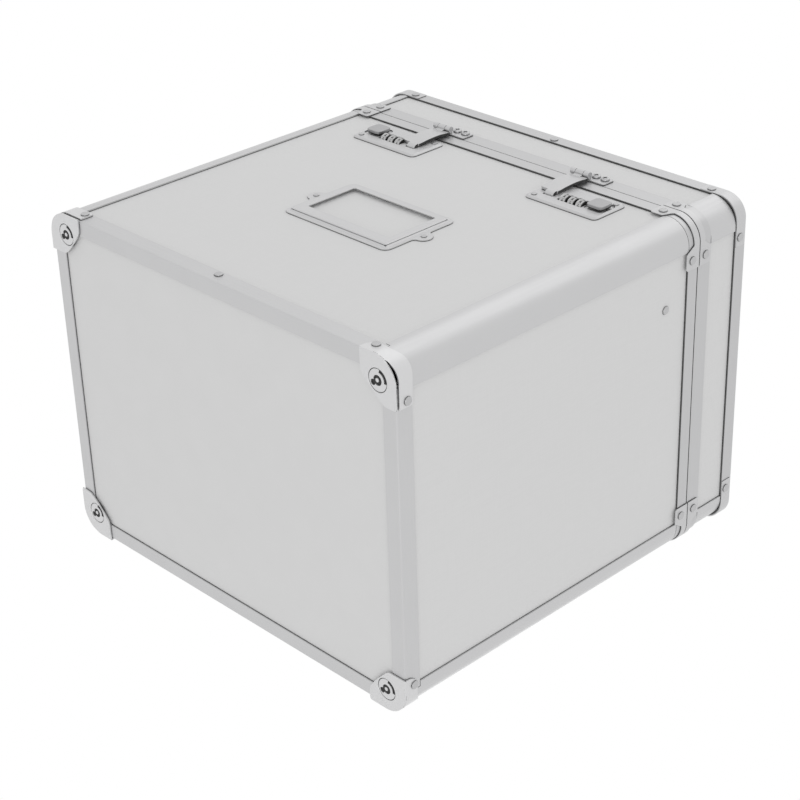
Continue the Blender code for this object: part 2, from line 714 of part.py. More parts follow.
def make_foot_caps(case, angles):
    steps = CORNER_STEPS + 7
    low = -CAP_OUTSIDE
    tip = FOOT_WALL_HEIGHT - CLIP_TIP_CUT
    heights = [(low, tip)] + [(low, FOOT_WALL_HEIGHT)] * (steps - 2) + [(low, tip)]
    for end, sy in ENDS:
        for side, sx in SIDES:
            place = f"{end}_{side}"
            outline = cornered(
                FOOT_FOLD_SLIT - GAP,
                FOOT_REACH_X,
                -GAP - SHEET / 2,
                FOOT_REACH_Y,
                (FOOT_TIP_RADIUS, FOOT_INNER_RADIUS, FOOT_TIP_RADIUS, FOOT_FOLD_RADIUS),
            )
            plate_outline = [(sx * (HALF_WIDTH - a), sy * (HALF_DEPTH - b)) for a, b in outline]
            cap = prism(f"foot_cap_{place}", plate_outline, -CAP_OUTSIDE, -GAP, lay_flat, "chrome", case)
            wall = corner_strap(f"foot_wall_{place}", CASE_CORNER_RADIUS, GAP, SHEET, (FOOT_REACH_X, FOOT_REACH_Y),
                                heights, (sx, sy), None, case, helper=True)
            centre = sx * (HALF_WIDTH - DIMPLE_INSET_X), sy * (HALF_DEPTH - DIMPLE_INSET_Y)
            cup = make_dimple(place, centre, case)
            room = circle(*centre, DIMPLE_RADIUS + SHEET + GAP, ROUND_SIDES)
            cup_room = helper_prism(f"cup_room_{place}", room, -CUT_OVERRUN, PANEL_FACE, lay_flat, case)
            cut(angles[end], cup_room)
            cut(angles[side], cup_room)
            join(cap, wall, cup[0])
            cut(cap, cup[1])
            join(
                cap,
                cup[2],
                rivet(f"foot_rivet_a_{place}", lay_facing_front, (sx * CORNER_RIVET_X, BASE_RIVET_HEIGHT),
                      sy * (HALF_DEPTH + CAP_OUTSIDE), sy, case),
                rivet(f"foot_rivet_b_{place}", lay_across, (sy * CORNER_RIVET_Y, BASE_RIVET_HEIGHT),
                      sx * (HALF_WIDTH + CAP_OUTSIDE), sx, case),
            )


def make_dimple(place, centre, case):
    """The pressed cup of a foot cap, the hollow in it, and the screw head that sits there."""
    def rounds(radii_heights):
        return [loop_at(circle(*centre, radius, ROUND_SIDES), z, lay_flat) for radius, z in radii_heights]

    cup = build(
        f"foot_cup_{place}",
        rounds(
            (
                (DIMPLE_RADIUS + SHEET, -CAP_OUTSIDE + JOIN_OVERLAP),
                (DIMPLE_RADIUS + SHEET, -GAP),
                (DIMPLE_FLOOR_RADIUS + SHEET, DIMPLE_DEPTH - GAP),
            )
        ),
        None,
        case,
        helper=True,
    )
    hollow = build(
        f"foot_hollow_{place}",
        rounds(
            (
                (DIMPLE_RADIUS + CUT_OVERRUN, -CAP_OUTSIDE - CUT_OVERRUN),
                (DIMPLE_RADIUS, -CAP_OUTSIDE),
                (DIMPLE_FLOOR_RADIUS, DIMPLE_DEPTH - CAP_OUTSIDE),
            )
        ),
        None,
        case,
        helper=True,
    )
    floor = DIMPLE_DEPTH - CAP_OUTSIDE
    head = build(
        f"foot_screw_{place}",
        rounds(
            (
                (FOOT_SCREW_RADIUS, floor + JOIN_OVERLAP),
                (FOOT_SCREW_RADIUS, floor - FOOT_SCREW_HEIGHT / 2),
                (FOOT_SCREW_RADIUS / 2, floor - FOOT_SCREW_HEIGHT),
            )
        ),
        None,
        case,
        helper=True,
    )
    return cup, hollow, head


def make_label_holder(case):
    """A pressed card frame: flat foot, bevel, raised face with a window, and two riveted ears."""
    foot = -PANEL_FACE + GAP
    raised = foot + LABEL_RAISE
    inner = (LABEL_WINDOW_HALF_WIDTH, LABEL_WINDOW_HALF_HEIGHT, LABEL_WINDOW_CENTRE_Z)
    outer = (LABEL_HALF_WIDTH, LABEL_HALF_HEIGHT, LABEL_CENTRE_Z)

    def ring(base, grow, height):
        half_u, half_v, centre = base
        outline = rounded(half_u + grow, half_v + grow, LABEL_CORNER_RADIUS, (LABEL_CENTRE_X, centre))
        return loop_at(outline, front(height, 0)[0], lay_facing_front)

    step = LABEL_BASE_FLANGE + LABEL_BEVEL
    loops = [
        ring(outer, 0, foot),
        ring(outer, 0, foot + LABEL_SHEET),
        ring(outer, -LABEL_BASE_FLANGE, foot + LABEL_SHEET),
        ring(outer, -step, raised),
        ring(inner, LABEL_SHEET, raised),
        ring(inner, 0, raised - LABEL_SHEET / 2),
        ring(inner, 0, raised - LABEL_SHEET),
        ring(outer, -step - LABEL_SHEET / 2, raised - LABEL_SHEET),
        ring(outer, -LABEL_BASE_FLANGE - LABEL_SHEET, foot),
    ]
    holder = build("label_holder", loops, "edging", case, ringed=True)
    for side, sign in SIDES:
        at = (LABEL_CENTRE_X + sign * (LABEL_HALF_WIDTH + LABEL_EAR_OFFSET / 2), LABEL_CENTRE_Z)
        reach = LABEL_CENTRE_X + sign * (LABEL_HALF_WIDTH - LABEL_BASE_FLANGE / 2)
        half_disc = [
            (max(u * sign, reach * sign) * sign, v) for u, v in circle(*at, LABEL_EAR_RADIUS, ROUND_SIDES)
        ]
        kept = [p for i, p in enumerate(half_disc) if p[0] != reach or abs(p[1] - at[1]) > LABEL_EAR_RADIUS / 2]
        ear = helper_prism(f"label_ear_{side}", kept, front(foot, 0)[0], front(foot + LABEL_SHEET, 0)[0],
                           lay_facing_front, case)
        pin = rivet(f"label_rivet_{side}", lay_facing_front, (at[0] + sign * SMALL_RIVET_HEIGHT, at[1]),
                    front(foot + LABEL_SHEET, 0)[0], -1, case, SMALL_RIVET_RADIUS, SMALL_RIVET_HEIGHT)
        join(holder, ear, pin)


def make_lock(side, sign, case):
    """One combination latch: face plate with its housing, three dials on an axle, a release button."""
    back = front(-PANEL_FACE + GAP, 0)[0]
    face = front(PLATE_FACE, 0)[0]
    centre = (sign * LOCK_CENTRE_X, LOCK_CENTRE_Z)
    plate = prism(f"lock_plate_{side}", rounded(LOCK_HALF_WIDTH, LOCK_HALF_HEIGHT, LOCK_CORNER_RADIUS, centre),
                  back, face, lay_facing_front, "chrome", case)
    axis_inset = PLATE_FACE + DIAL_PROUD - DIAL_RADIUS
    axis_y = front(axis_inset, 0)[0]
    room_u = DIAL_PITCH + DIAL_WIDTH / 2 + HOUSING_END_SPACE
    room_v = DIAL_RADIUS + DIAL_CLEARANCE
    floor = axis_y + DIAL_RADIUS + DIAL_CLEARANCE
    dial_u = sign * DIAL_CENTRE_X
    box = rectangle(dial_u - room_u - HOUSING_WALL, dial_u + room_u + HOUSING_WALL,
                    DIAL_CENTRE_Z - room_v - HOUSING_WALL, DIAL_CENTRE_Z + room_v + HOUSING_WALL)
    housing = helper_prism(f"lock_housing_{side}", box, back - JOIN_OVERLAP, floor + HOUSING_WALL,
                           lay_facing_front, case)
    room = rectangle(dial_u - room_u, dial_u + room_u, DIAL_CENTRE_Z - room_v, DIAL_CENTRE_Z + room_v)
    cavity = helper_prism(f"lock_cavity_{side}", room, face + WINDOW_LIP, floor, lay_facing_front, case)
    sink = axis_y - face - WINDOW_LIP
    window_v = math.sqrt(DIAL_RADIUS**2 - sink**2) + GAP
    opening = rounded(room_u, window_v, DIAL_CLEARANCE, (dial_u, DIAL_CENTRE_Z))
    window = helper_prism(f"lock_window_{side}", opening, face - CUT_OVERRUN, floor - HOUSING_WALL,
                          lay_facing_front, case)
    axle = helper_prism(f"lock_axle_{side}", circle(axis_y, DIAL_CENTRE_Z, AXLE_RADIUS, BORE_SIDES),
                        dial_u - room_u - HOUSING_WALL / 2, dial_u + room_u + HOUSING_WALL / 2, lay_across, case)
    slot_u = sign * TONGUE_CENTRE_X
    slot = helper_prism(
        f"tongue_slot_{side}",
        rectangle(slot_u - TONGUE_SLOT_HALF_WIDTH, slot_u + TONGUE_SLOT_HALF_WIDTH, TONGUE_SLOT_FLOOR_Z,
                  LOCK_CENTRE_Z + LOCK_HALF_HEIGHT + CUT_OVERRUN),
        face - CUT_OVERRUN,
        back + CUT_OVERRUN,
        lay_facing_front,
        case,
    )
    button_u = sign * BUTTON_CENTRE_X
    far = sorted((button_u - sign * DISH_INNER_REACH, button_u + sign * DISH_OUTER_REACH))
    dish_outline = rounded((far[1] - far[0]) / 2, DISH_HALF_HEIGHT, DISH_CORNER_RADIUS,
                           ((far[0] + far[1]) / 2, BUTTON_CENTRE_Z))
    dish = helper_prism(f"button_dish_{side}", dish_outline, face - CUT_OVERRUN, face + DISH_DEPTH,
                        lay_facing_front, case)
    stem = BUTTON_STEM_HALF + GAP
    run = sorted((button_u - sign * stem, button_u + sign * (stem + BUTTON_TRAVEL)))
    stem_slot = helper_prism(f"stem_slot_{side}", rectangle(*run, BUTTON_CENTRE_Z - stem, BUTTON_CENTRE_Z + stem),
                             face - CUT_OVERRUN, back + CUT_OVERRUN, lay_facing_front, case)
    join(plate, housing)
    cut(plate, cavity, window, slot, dish, stem_slot)
    join(plate, axle)
    for name, su, sv in (("low", -1, -1), ("high", 1, 1)):
        at = (centre[0] + su * (LOCK_HALF_WIDTH - LOCK_RIVET_INSET),
              centre[1] + sv * (LOCK_HALF_HEIGHT - LOCK_RIVET_INSET))
        join(plate, rivet(f"lock_rivet_{name}_{side}", lay_facing_front, at, face, -1, case,
                          SMALL_RIVET_RADIUS, SMALL_RIVET_HEIGHT))
    hole = rectangle(dial_u - room_u - HOUSING_WALL - GAP, dial_u + room_u + HOUSING_WALL + GAP,
                     DIAL_CENTRE_Z - room_v - HOUSING_WALL - GAP, DIAL_CENTRE_Z + room_v + HOUSING_WALL + GAP)
    panel_hole = helper_prism(f"panel_hole_{side}", hole, -HALF_DEPTH - CUT_OVERRUN, -HALF_DEPTH + EDGE_BACK,
                              lay_facing_front, case)
    make_dials(side, dial_u, axis_y, case)
    make_button(side, sign, face, back, case)
    return panel_hole


def make_dials(side, dial_u, axis_y, case):
    bore = AXLE_RADIUS + GAP
    half = DIAL_WIDTH / 2
    band = half - DIAL_RIM_WIDTH
    section = ((bore, -half), (DIAL_RADIUS, -half), (DIAL_RADIUS, -band), (DIAL_BAND_RADIUS, -band),
               (DIAL_BAND_RADIUS, band), (DIAL_RADIUS, band), (DIAL_RADIUS, half), (bore, half))
    for number in range(DIAL_COUNT):
        u = dial_u + (number - (DIAL_COUNT - 1) / 2) * DIAL_PITCH
        carrier = empty_at(f"dial_axis_{side}_{number + 1}", (u, axis_y, DIAL_CENTRE_Z), case)
        loops = [
            loop_at(circle(axis_y, DIAL_CENTRE_Z, radius, ROUND_SIDES), u + w, lay_across) for radius, w in section
        ]
        build(f"dial_{side}_{number + 1}", loops, "dial", carrier, ringed=True)


def make_button(side, sign, face, back, case):
    u = sign * BUTTON_CENTRE_X
    top = front(BUTTON_PROUD, 0)[0]
    under = top + BUTTON_THICKNESS
    carrier = empty_at(f"button_axis_{side}", (u, face, BUTTON_CENTRE_Z), case)

    def pad_outline(shrink):
        return cornered(u - BUTTON_HALF_WIDTH + shrink, u + BUTTON_HALF_WIDTH - shrink,
                        BUTTON_CENTRE_Z - BUTTON_HALF_HEIGHT + shrink, BUTTON_CENTRE_Z + BUTTON_HALF_HEIGHT - shrink,
                        (BUTTON_CORNER_CUT,) * 4, steps=1)

    loops = [
        loop_at(pad_outline(0), under, lay_facing_front),
        loop_at(pad_outline(0), top + BUTTON_TOP_BEVEL, lay_facing_front),
        loop_at(pad_outline(BUTTON_TOP_BEVEL), top, lay_facing_front),
    ]
    button = build(f"release_button_{side}", loops, "chrome", carrier)
    stem = helper_prism(
        f"button_stem_{side}",
        rectangle(u - BUTTON_STEM_HALF, u + BUTTON_STEM_HALF, BUTTON_CENTRE_Z - BUTTON_STEM_HALF,
                  BUTTON_CENTRE_Z + BUTTON_STEM_HALF),
        under - JOIN_OVERLAP,
        back,
        lay_facing_front,
        carrier,
    )
    join(button, stem)


def make_hasp(side, sign, lid):
    """The hinge screwed to the lid rim, and the arm that bridges the seam into the latch."""
    u = sign * TONGUE_CENTRE_X
    axis_y, axis_z = front(HASP_AXIS_PROUD, HASP_AXIS_Z)
    barrel = circle(axis_y, axis_z, HASP_BARREL_RADIUS, ROUND_SIDES)
    start = u + HASP_BARREL_START
    end = start + HASP_BARREL_LENGTH
    near, far = front(GAP, 0)[0], front(GAP + HASP_LEAF_SHEET, 0)[0]
    leaf = rectangle(start, u + HASP_LEAF_END, LID_BASE + GAP, HASP_LEAF_TOP_Z)
    base = prism(f"hasp_hinge_{side}", leaf, near, far, lay_facing_front, "chrome", lid)
    bridge = rectangle(axis_y, far + JOIN_OVERLAP, axis_z - HASP_BARREL_RADIUS / 2, axis_z + HASP_BARREL_RADIUS / 2)
    knuckles = []
    for i, low in enumerate((start, end - HASP_KNUCKLE_WIDTH)):
        high = low + HASP_KNUCKLE_WIDTH
        knuckles.append(helper_prism(f"hasp_bridge_{side}_{i}", bridge, low, high, lay_across, lid))
        knuckles.append(helper_prism(f"hasp_knuckle_{side}_{i}", barrel, low, high, lay_across, lid))
    pin = helper_prism(f"hasp_pin_{side}", circle(axis_y, axis_z, HASP_PIN_RADIUS, BORE_SIDES),
                       start + HASP_KNUCKLE_WIDTH / 2, end - HASP_KNUCKLE_WIDTH / 2, lay_across, lid)
    screws = [
        rivet(f"hasp_screw_{side}_{i}", lay_facing_front, (u + HASP_SCREW_OFFSET + i * HASP_SCREW_PITCH, HASP_SCREW_Z),
              far, -1, lid, HASP_SCREW_RADIUS, HASP_SCREW_HEIGHT)
        for i in range(2)
    ]
    join(base, *knuckles, pin, *screws)

    carrier = empty_at(f"hasp_axis_{side}", (u, axis_y, axis_z), lid)
    low = start + HASP_KNUCKLE_WIDTH + GAP
    high = end - HASP_KNUCKLE_WIDTH - GAP
    arm_u = u + HASP_ARM_OFFSET
    arm_line = [front(proud, SEAM_HEIGHT - drop) for proud, drop in HASP_ARM_LINE]
    arm = prism(f"hasp_{side}", thick_line(arm_line, HASP_SHEET), arm_u - HASP_ARM_HALF_WIDTH,
                arm_u + HASP_ARM_HALF_WIDTH, lay_across, "chrome", carrier)
    neck_line = [front(proud, SEAM_HEIGHT - drop) for proud, drop in HASP_NECK_LINE]
    tongue_line = [front(proud, SEAM_HEIGHT - drop) for proud, drop in HASP_TONGUE_LINE]
    join(
        arm,
        helper_prism(f"hasp_neck_{side}", thick_line(neck_line, HASP_SHEET), low, high, lay_across, carrier),
        helper_prism(f"hasp_middle_knuckle_{side}", barrel, low, high, lay_across, carrier),
        helper_prism(f"hasp_tongue_{side}", thick_line(tongue_line, HASP_SHEET), u - HASP_TONGUE_HALF_WIDTH,
                     u + HASP_TONGUE_HALF_WIDTH, lay_across, carrier),
    )
    cut(arm, helper_prism(f"hasp_bore_{side}", circle(axis_y, axis_z, HASP_BORE_RADIUS, BORE_SIDES),
                          low - CUT_OVERRUN, high + CUT_OVERRUN, lay_across, carrier))


def make_back_hinge(case, lid):
    """A continuous hinge: two leaves with alternating knuckles, and the pin through them."""
    half = HINGE_LENGTH / 2
    pitch = HINGE_LENGTH / HINGE_KNUCKLES
    near = HALF_DEPTH + GAP
    sheet_far = near + SHEET
    barrel = circle(HINGE_AXIS_Y, HINGE_AXIS_Z, HINGE_BARREL_RADIUS, ROUND_SIDES)
    bore = circle(HINGE_AXIS_Y, HINGE_AXIS_Z, HINGE_BORE_RADIUS, BORE_SIDES)
    clear = HINGE_BARREL_RADIUS + GAP
    for name, parent, direction, odd in (("hinge_case_leaf", case, -1, 0), ("hinge_lid_leaf", lid, 1, 1)):
        far = HINGE_AXIS_Z + direction * (clear + HINGE_LEAF_HEIGHT - HINGE_LEAF_RECESS)
        low, high = sorted((HINGE_AXIS_Z + direction * clear, far))
        leaf = prism(name, rectangle(near, sheet_far, low, high), -half, half, lay_across, "edging", parent)
        for number in range(odd, HINGE_KNUCKLES, 2):
            start = -half + number * pitch + GAP / 2
            stop = start + pitch - GAP
            low, high = sorted((HINGE_AXIS_Z, HINGE_AXIS_Z + direction * (clear + JOIN_OVERLAP)))
            bridge = helper_prism(f"{name}_bridge_{number}", rectangle(near, sheet_far, low, high), start, stop,
                                  lay_across, parent)
            knuckle = helper_prism(f"{name}_knuckle_{number}", barrel, start, stop, lay_across, parent)
            join(leaf, bridge, knuckle)
        cut(leaf, helper_prism(f"{name}_bore", bore, -half - CUT_OVERRUN, half + CUT_OVERRUN, lay_across, parent))
    prism("hinge_pin", circle(HINGE_AXIS_Y, HINGE_AXIS_Z, HINGE_PIN_RADIUS, BORE_SIDES), -half, half, lay_across,
          "steel", case)


def make_file_rails(case):
    end_y = HALF_DEPTH - EDGE_BACK - GAP
    for side, sign in SIDES:
        outer = RAIL_X + RAIL_SHEET / 2
        inner = RAIL_X - RAIL_SHEET / 2
        tab = outer - RAIL_TAB
        shape = ((outer, -end_y), (outer, end_y), (tab, end_y), (tab, end_y - RAIL_SHEET),
                 (inner, end_y - RAIL_SHEET), (inner, RAIL_SHEET - end_y), (tab, RAIL_SHEET - end_y), (tab, -end_y))
        prism(f"file_rail_{side}", [(sign * x, y) for x, y in shape], RAIL_TOP_Z - RAIL_HEIGHT, RAIL_TOP_Z,
              lay_flat, "steel", case)


def make_stays(case, lid):
    """Each stay is a short link on the case and a long arm on the lid, parallel to the case's side."""
    rise = (STAY_LID_Y - HINGE_AXIS_Y, STAY_LID_Z - HINGE_AXIS_Z)
    foot = (STAY_CASE_Y, STAY_CASE_Z)
    elbow = (foot[0] + rise[0], foot[1] + rise[1])
    top = (STAY_LID_Y, STAY_LID_Z)
    wall = HALF_WIDTH - PANEL_BACK
    link_out = HALF_WIDTH - EDGE_BACK - STAY_CLEARANCE
    link_in = link_out - STAY_SHEET
    arm_out = link_in - GAP
    arm_in = arm_out - STAY_SHEET
    head_out = arm_in - GAP
    for side, sign in SIDES:
        link_axis = empty_at(f"stay_link_axis_{side}", (sign * link_in, *foot), case)
        arm_axis = empty_at(f"stay_arm_axis_{side}", (sign * arm_in, *top), lid)

        def pin(name, at, radius, low, high, parent):
            return helper_prism(f"{name}_{side}", circle(*at, radius, BORE_SIDES), sign * low, sign * high,
                                lay_across, parent)

        link = prism(f"stay_link_{side}", bar_outline(foot, elbow, STAY_HALF_WIDTH), sign * link_in,
                     sign * link_out, lay_across, "steel", link_axis)
        join(
            link,
            pin("stay_foot_pin", foot, STAY_PIN_RADIUS, link_out - JOIN_OVERLAP, wall - GAP, link_axis),
            pin("stay_elbow_pin", elbow, STAY_PIN_RADIUS, link_in + JOIN_OVERLAP, head_out - JOIN_OVERLAP,
                link_axis),
            pin("stay_elbow_head", elbow, STAY_HEAD_RADIUS, head_out, head_out - STAY_HEAD, link_axis),
        )
        arm = prism(f"stay_arm_{side}", bar_outline(elbow, top, STAY_HALF_WIDTH), sign * arm_in, sign * arm_out,
                    lay_across, "steel", arm_axis)
        cut(arm, pin("stay_elbow_bore", elbow, STAY_PIN_RADIUS + GAP, arm_in - CUT_OVERRUN, arm_out + CUT_OVERRUN,
                     arm_axis))
        join(arm, pin("stay_top_pin", top, STAY_PIN_RADIUS, arm_out - JOIN_OVERLAP, wall - GAP, arm_axis))


def make_handle(lid):
    """A bail handle on the lid, lying forward, between two brackets."""
    axis_z = HEIGHT + HANDLE_PIVOT_RISE
    base = HEIGHT - PANEL_FACE + GAP
    carrier = empty_at("handle_axis", (0, HANDLE_PIVOT_Y, axis_z), lid)
    outer_u = HANDLE_HALF_SPAN
    grip_v = HANDLE_PIVOT_Y - HANDLE_REACH
    bail_outline = [
        *cornered_u(outer_u, HANDLE_PIVOT_Y, grip_v - HANDLE_GRIP_HALF, HANDLE_CORNER_RADIUS),
        *reversed(
            cornered_u(outer_u - 2 * HANDLE_ARM_HALF, HANDLE_PIVOT_Y, grip_v + HANDLE_GRIP_HALF,
                       HANDLE_CORNER_RADIUS - 2 * HANDLE_ARM_HALF)
        ),
    ]
    bail = prism("handle_bail", bail_outline, axis_z - HANDLE_ARM_HALF, axis_z + HANDLE_ARM_HALF, lay_flat, "grip",
                 carrier)
    grip = helper_prism("handle_grip", circle(grip_v, axis_z, HANDLE_GRIP_HALF, BAR_SIDES),
                        -HANDLE_GRIP_HALF_LENGTH, HANDLE_GRIP_HALF_LENGTH, lay_across, carrier)
    join(bail, grip)
    middle = outer_u - HANDLE_ARM_HALF
    for side, sign in SIDES:
        boss = helper_prism(f"handle_boss_{side}", circle(HANDLE_PIVOT_Y, axis_z, HANDLE_GRIP_HALF, BAR_SIDES),
                            sign * (middle - HANDLE_ARM_HALF), sign * (middle + HANDLE_ARM_HALF), lay_across,
                            carrier)
        reach = outer_u + GAP + BRACKET_EAR
        pin = helper_prism(f"handle_pin_{side}", circle(HANDLE_PIVOT_Y, axis_z, HANDLE_PIN_RADIUS, BORE_SIDES),
                           sign * middle, sign * reach, lay_across, carrier)
        join(bail, boss, pin)
        ear_in = outer_u + GAP
        ear_out = ear_in + BRACKET_EAR
        inner = sign * (ear_out - 2 * BRACKET_HALF_WIDTH)
        plate = prism(
            f"handle_bracket_{side}",
            rounded(BRACKET_HALF_WIDTH, BRACKET_HALF_DEPTH, DIAL_RADIUS / 2,
                    ((inner + sign * ear_out) / 2, HANDLE_PIVOT_Y)),
            base,
            base + BRACKET_BASE,
            lay_flat,
            "chrome",
            lid,
        )
        ear = helper_prism(
            f"handle_ear_{side}",
            ear_outline(HANDLE_PIVOT_Y, axis_z, base + BRACKET_BASE / 2),
            sign * ear_in,
            sign * ear_out,
            lay_across,
            lid,
        )
        bore = helper_prism(f"handle_bore_{side}", circle(HANDLE_PIVOT_Y, axis_z, HANDLE_BORE_RADIUS, BORE_SIDES),
                            sign * (ear_in - GAP), sign * (ear_out + CUT_OVERRUN), lay_across, lid)
        join(plate, ear)
        cut(plate, bore)


def cornered_u(half_u, open_v, closed_v, radius):
    """Half a rounded rectangle, open at one side, from its left end round to its right end."""
    points = [(-half_u, open_v)]
    for su, start in ((-1, math.pi), (1, math.pi * 1.5)):
        for step in range(CORNER_STEPS + 1):
            angle = start + math.pi / 2 * step / CORNER_STEPS
            points.append(
                (su * (half_u - radius) + radius * math.cos(angle), closed_v + radius + radius * math.sin(angle))
            )
    points.append((half_u, open_v))
    return points


def ear_outline(v, z, foot):
    """A bracket ear: round at its bore, straight down to the base."""
    top = [
        (v + BRACKET_EAR_RADIUS * math.cos(t), z + BRACKET_EAR_RADIUS * math.sin(t))
        for t in (math.pi * i / (BAR_SIDES // 2) for i in range(BAR_SIDES // 2 + 1))
    ]
    return [*top, (v - 1.5 * BRACKET_EAR_RADIUS, foot), (v + 1.5 * BRACKET_EAR_RADIUS, foot)]


def main():
    clear_scene()
    root = bpy.data.objects.new("case_frame", None)
    bpy.context.scene.collection.objects.link(root)
    root.location = (0, (FRONT_REACH - BACK_REACH) / 2, CAP_OUTSIDE)
    places["case_frame"] = Vector((0, 0, 0))
    lid = empty_at("lid_axis", (0, HINGE_AXIS_Y, HINGE_AXIS_Z), root)
    panels = make_panels(root, lid)
    make_corners(root, lid)
    make_foot_caps(root, make_base_angles(root))
    make_rims(root, lid)
    make_label_holder(root)
    for side, sign in SIDES:
        cut(panels["case_front_panel"], make_lock(side, sign, root))
        make_hasp(side, sign, lid)
    make_back_hinge(root, lid)
    make_file_rails(root)
    make_stays(root, lid)
    make_handle(lid)


main()
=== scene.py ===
"""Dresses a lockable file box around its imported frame: edging, clips, foot caps, card holder, latches.

Every place is given in the case's own frame, whose zero is the underside of the base angles at the
middle of the box: +X is the right side, -Y the front, +Z up. Sizes are in metres. A finished piece is
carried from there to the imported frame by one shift.
"""

from __future__ import annotations

import json
import logging
import math
from collections.abc import Callable, Iterator, Sequence
from contextlib import contextmanager
from dataclasses import dataclass, field
from enum import Enum
from functools import partial
from itertools import pairwise
from typing import ClassVar

import bmesh
import bpy
from mathutils import Matrix, Vector

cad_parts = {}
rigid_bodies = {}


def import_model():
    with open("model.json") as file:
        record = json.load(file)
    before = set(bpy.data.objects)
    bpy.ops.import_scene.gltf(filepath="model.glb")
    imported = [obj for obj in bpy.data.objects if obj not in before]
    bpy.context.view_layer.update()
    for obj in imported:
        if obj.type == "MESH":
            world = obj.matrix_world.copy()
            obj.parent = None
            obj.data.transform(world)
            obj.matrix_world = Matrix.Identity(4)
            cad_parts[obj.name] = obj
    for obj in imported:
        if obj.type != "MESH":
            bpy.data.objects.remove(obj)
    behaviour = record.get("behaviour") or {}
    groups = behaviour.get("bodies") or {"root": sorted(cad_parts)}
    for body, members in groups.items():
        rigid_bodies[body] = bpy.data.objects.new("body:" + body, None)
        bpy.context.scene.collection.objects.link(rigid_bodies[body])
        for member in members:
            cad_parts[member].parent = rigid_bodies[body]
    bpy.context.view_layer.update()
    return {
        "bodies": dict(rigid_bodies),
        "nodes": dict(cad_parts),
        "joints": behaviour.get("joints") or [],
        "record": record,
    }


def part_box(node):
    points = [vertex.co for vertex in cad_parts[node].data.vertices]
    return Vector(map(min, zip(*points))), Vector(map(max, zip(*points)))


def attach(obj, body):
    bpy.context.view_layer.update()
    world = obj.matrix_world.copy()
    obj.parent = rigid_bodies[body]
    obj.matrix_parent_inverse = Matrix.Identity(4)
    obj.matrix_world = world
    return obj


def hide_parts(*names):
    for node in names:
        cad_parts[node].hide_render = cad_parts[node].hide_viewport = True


Point = Sequence[float]
Pair = tuple[float, float]
Test = Callable[[Vector, Vector], bool]
Seats = list[tuple[Point, Point]]
Socket = bpy.types.NodeSocket

LOG = logging.getLogger("file_box")
SIGNS = (-1, 1)
SIDE_NAMES = {-1: "left", 1: "right"}
END_NAMES = {-1: "front", 1: "back"}

# The cosines past which a direction lies along an axis, and under which it lies across it.
ALIGNED, ACROSS = 0.9, 0.1
# How near a height the middle of an edge has to be to lie at it.
NEAR = 0.0001


class Axis(Enum):
    """The direction that a rod or a rivet points along."""

    X = (1, 0, 0)
    Y = (0, 1, 0)
    Z = (0, 0, 1)


class Kind(Enum):
    """What is selected in edit mode."""

    VERT = "VERT"
    EDGE = "EDGE"
    FACE = "FACE"


class Body(Enum):
    """The two bodies that most pieces ride on."""

    CASE = "case"
    LID = "lid"


@dataclass(frozen=True)
class Box:
    """Sizes of the whole box, shared by the pieces on it."""

    width: float = 0.350
    depth: float = 0.263
    height: float = 0.345
    lid_depth: float = 0.0535
    gap: float = 0.0003
    edge_wall: float = 0.0012
    board: float = 0.003
    case_radius: float = 0.018
    lid_radius: float = 0.0205
    frame_radius: float = 0.0165
    base_flange: float = 0.0135
    rivet_inset_x: float = 0.026
    rivet_inset_y: float = 0.0285
    base_rivet_rise: float = 0.009

    @property
    def half_width(self) -> float:
        """Half the width over the edging."""
        return self.width / 2

    @property
    def half_depth(self) -> float:
        """Half the depth over the edging."""
        return self.depth / 2

    @property
    def seam(self) -> float:
        """Height of the parting line between case and lid."""
        return self.height - self.lid_depth

    @property
    def panel_inset(self) -> float:
        """How far a panel's face lies behind the edging's."""
        return self.edge_wall + self.gap

    @property
    def panel_back(self) -> float:
        """Inset of a panel's inner face."""
        return self.panel_inset + self.board

    @property
    def groove_back(self) -> float:
        """Inset of the inner wall of the edging's groove."""
        return self.panel_back + self.gap

    @property
    def edge_back(self) -> float:
        """Inset of the edging's innermost face."""
        return self.groove_back + self.edge_wall

    @property
    def rivet_x(self) -> float:
        """X of the corner rivets on the front and back."""
        return self.half_width - self.rivet_inset_x

    @property
    def rivet_y(self) -> float:
        """Y of the corner rivets on the sides."""
        return self.half_depth - self.rivet_inset_y

    def corner(self, inset_x: float, inset_y: float) -> Pair:
        """A place at the front right corner, from its two insets."""
        return self.half_width - inset_x, inset_y - self.half_depth

    def front(self, proud: float) -> float:
        """Y of a height off the front face."""
        return -self.half_depth - proud


def arc(centre: Pair, radius: float, start: float, end: float, steps: int) -> list[Pair]:
    """Points on an arc.

    Args:
        centre: Its middle.
        radius: Its radius.
        start: The angle where it starts, in degrees.
        end: The angle where it ends, in degrees.
        steps: The number of straight pieces.

    Returns:
        The points, both ends included.
    """
    turns = [math.radians(start + (end - start) * i / steps) for i in range(steps + 1)]
    return [(centre[0] + radius * math.cos(t), centre[1] + radius * math.sin(t)) for t in turns]


def flowing(line: Sequence[Pair], steps: int) -> list[Pair]:
    """A smooth line through the given points, with some steps between each two.

    Args:
        line: The points to pass.
        steps: The number of straight pieces between each two.

    Returns:
        The points, both ends included.
    """
    points = [Vector(p) for p in line]
    padded = [2 * points[0] - points[1], *points, 2 * points[-1] - points[-2]]
    smooth: list[Pair] = []
    for before, here, there, after in zip(padded, padded[1:], padded[2:], padded[3:]):
        for t in (i / steps for i in range(steps)):
            a = 2 * here + (there - before) * t + (2 * before - 5 * here + 4 * there - after) * t**2
            smooth.append(tuple((a + (3 * here - before - 3 * there + after) * t**3) / 2))
    return [*smooth, tuple(points[-1])]


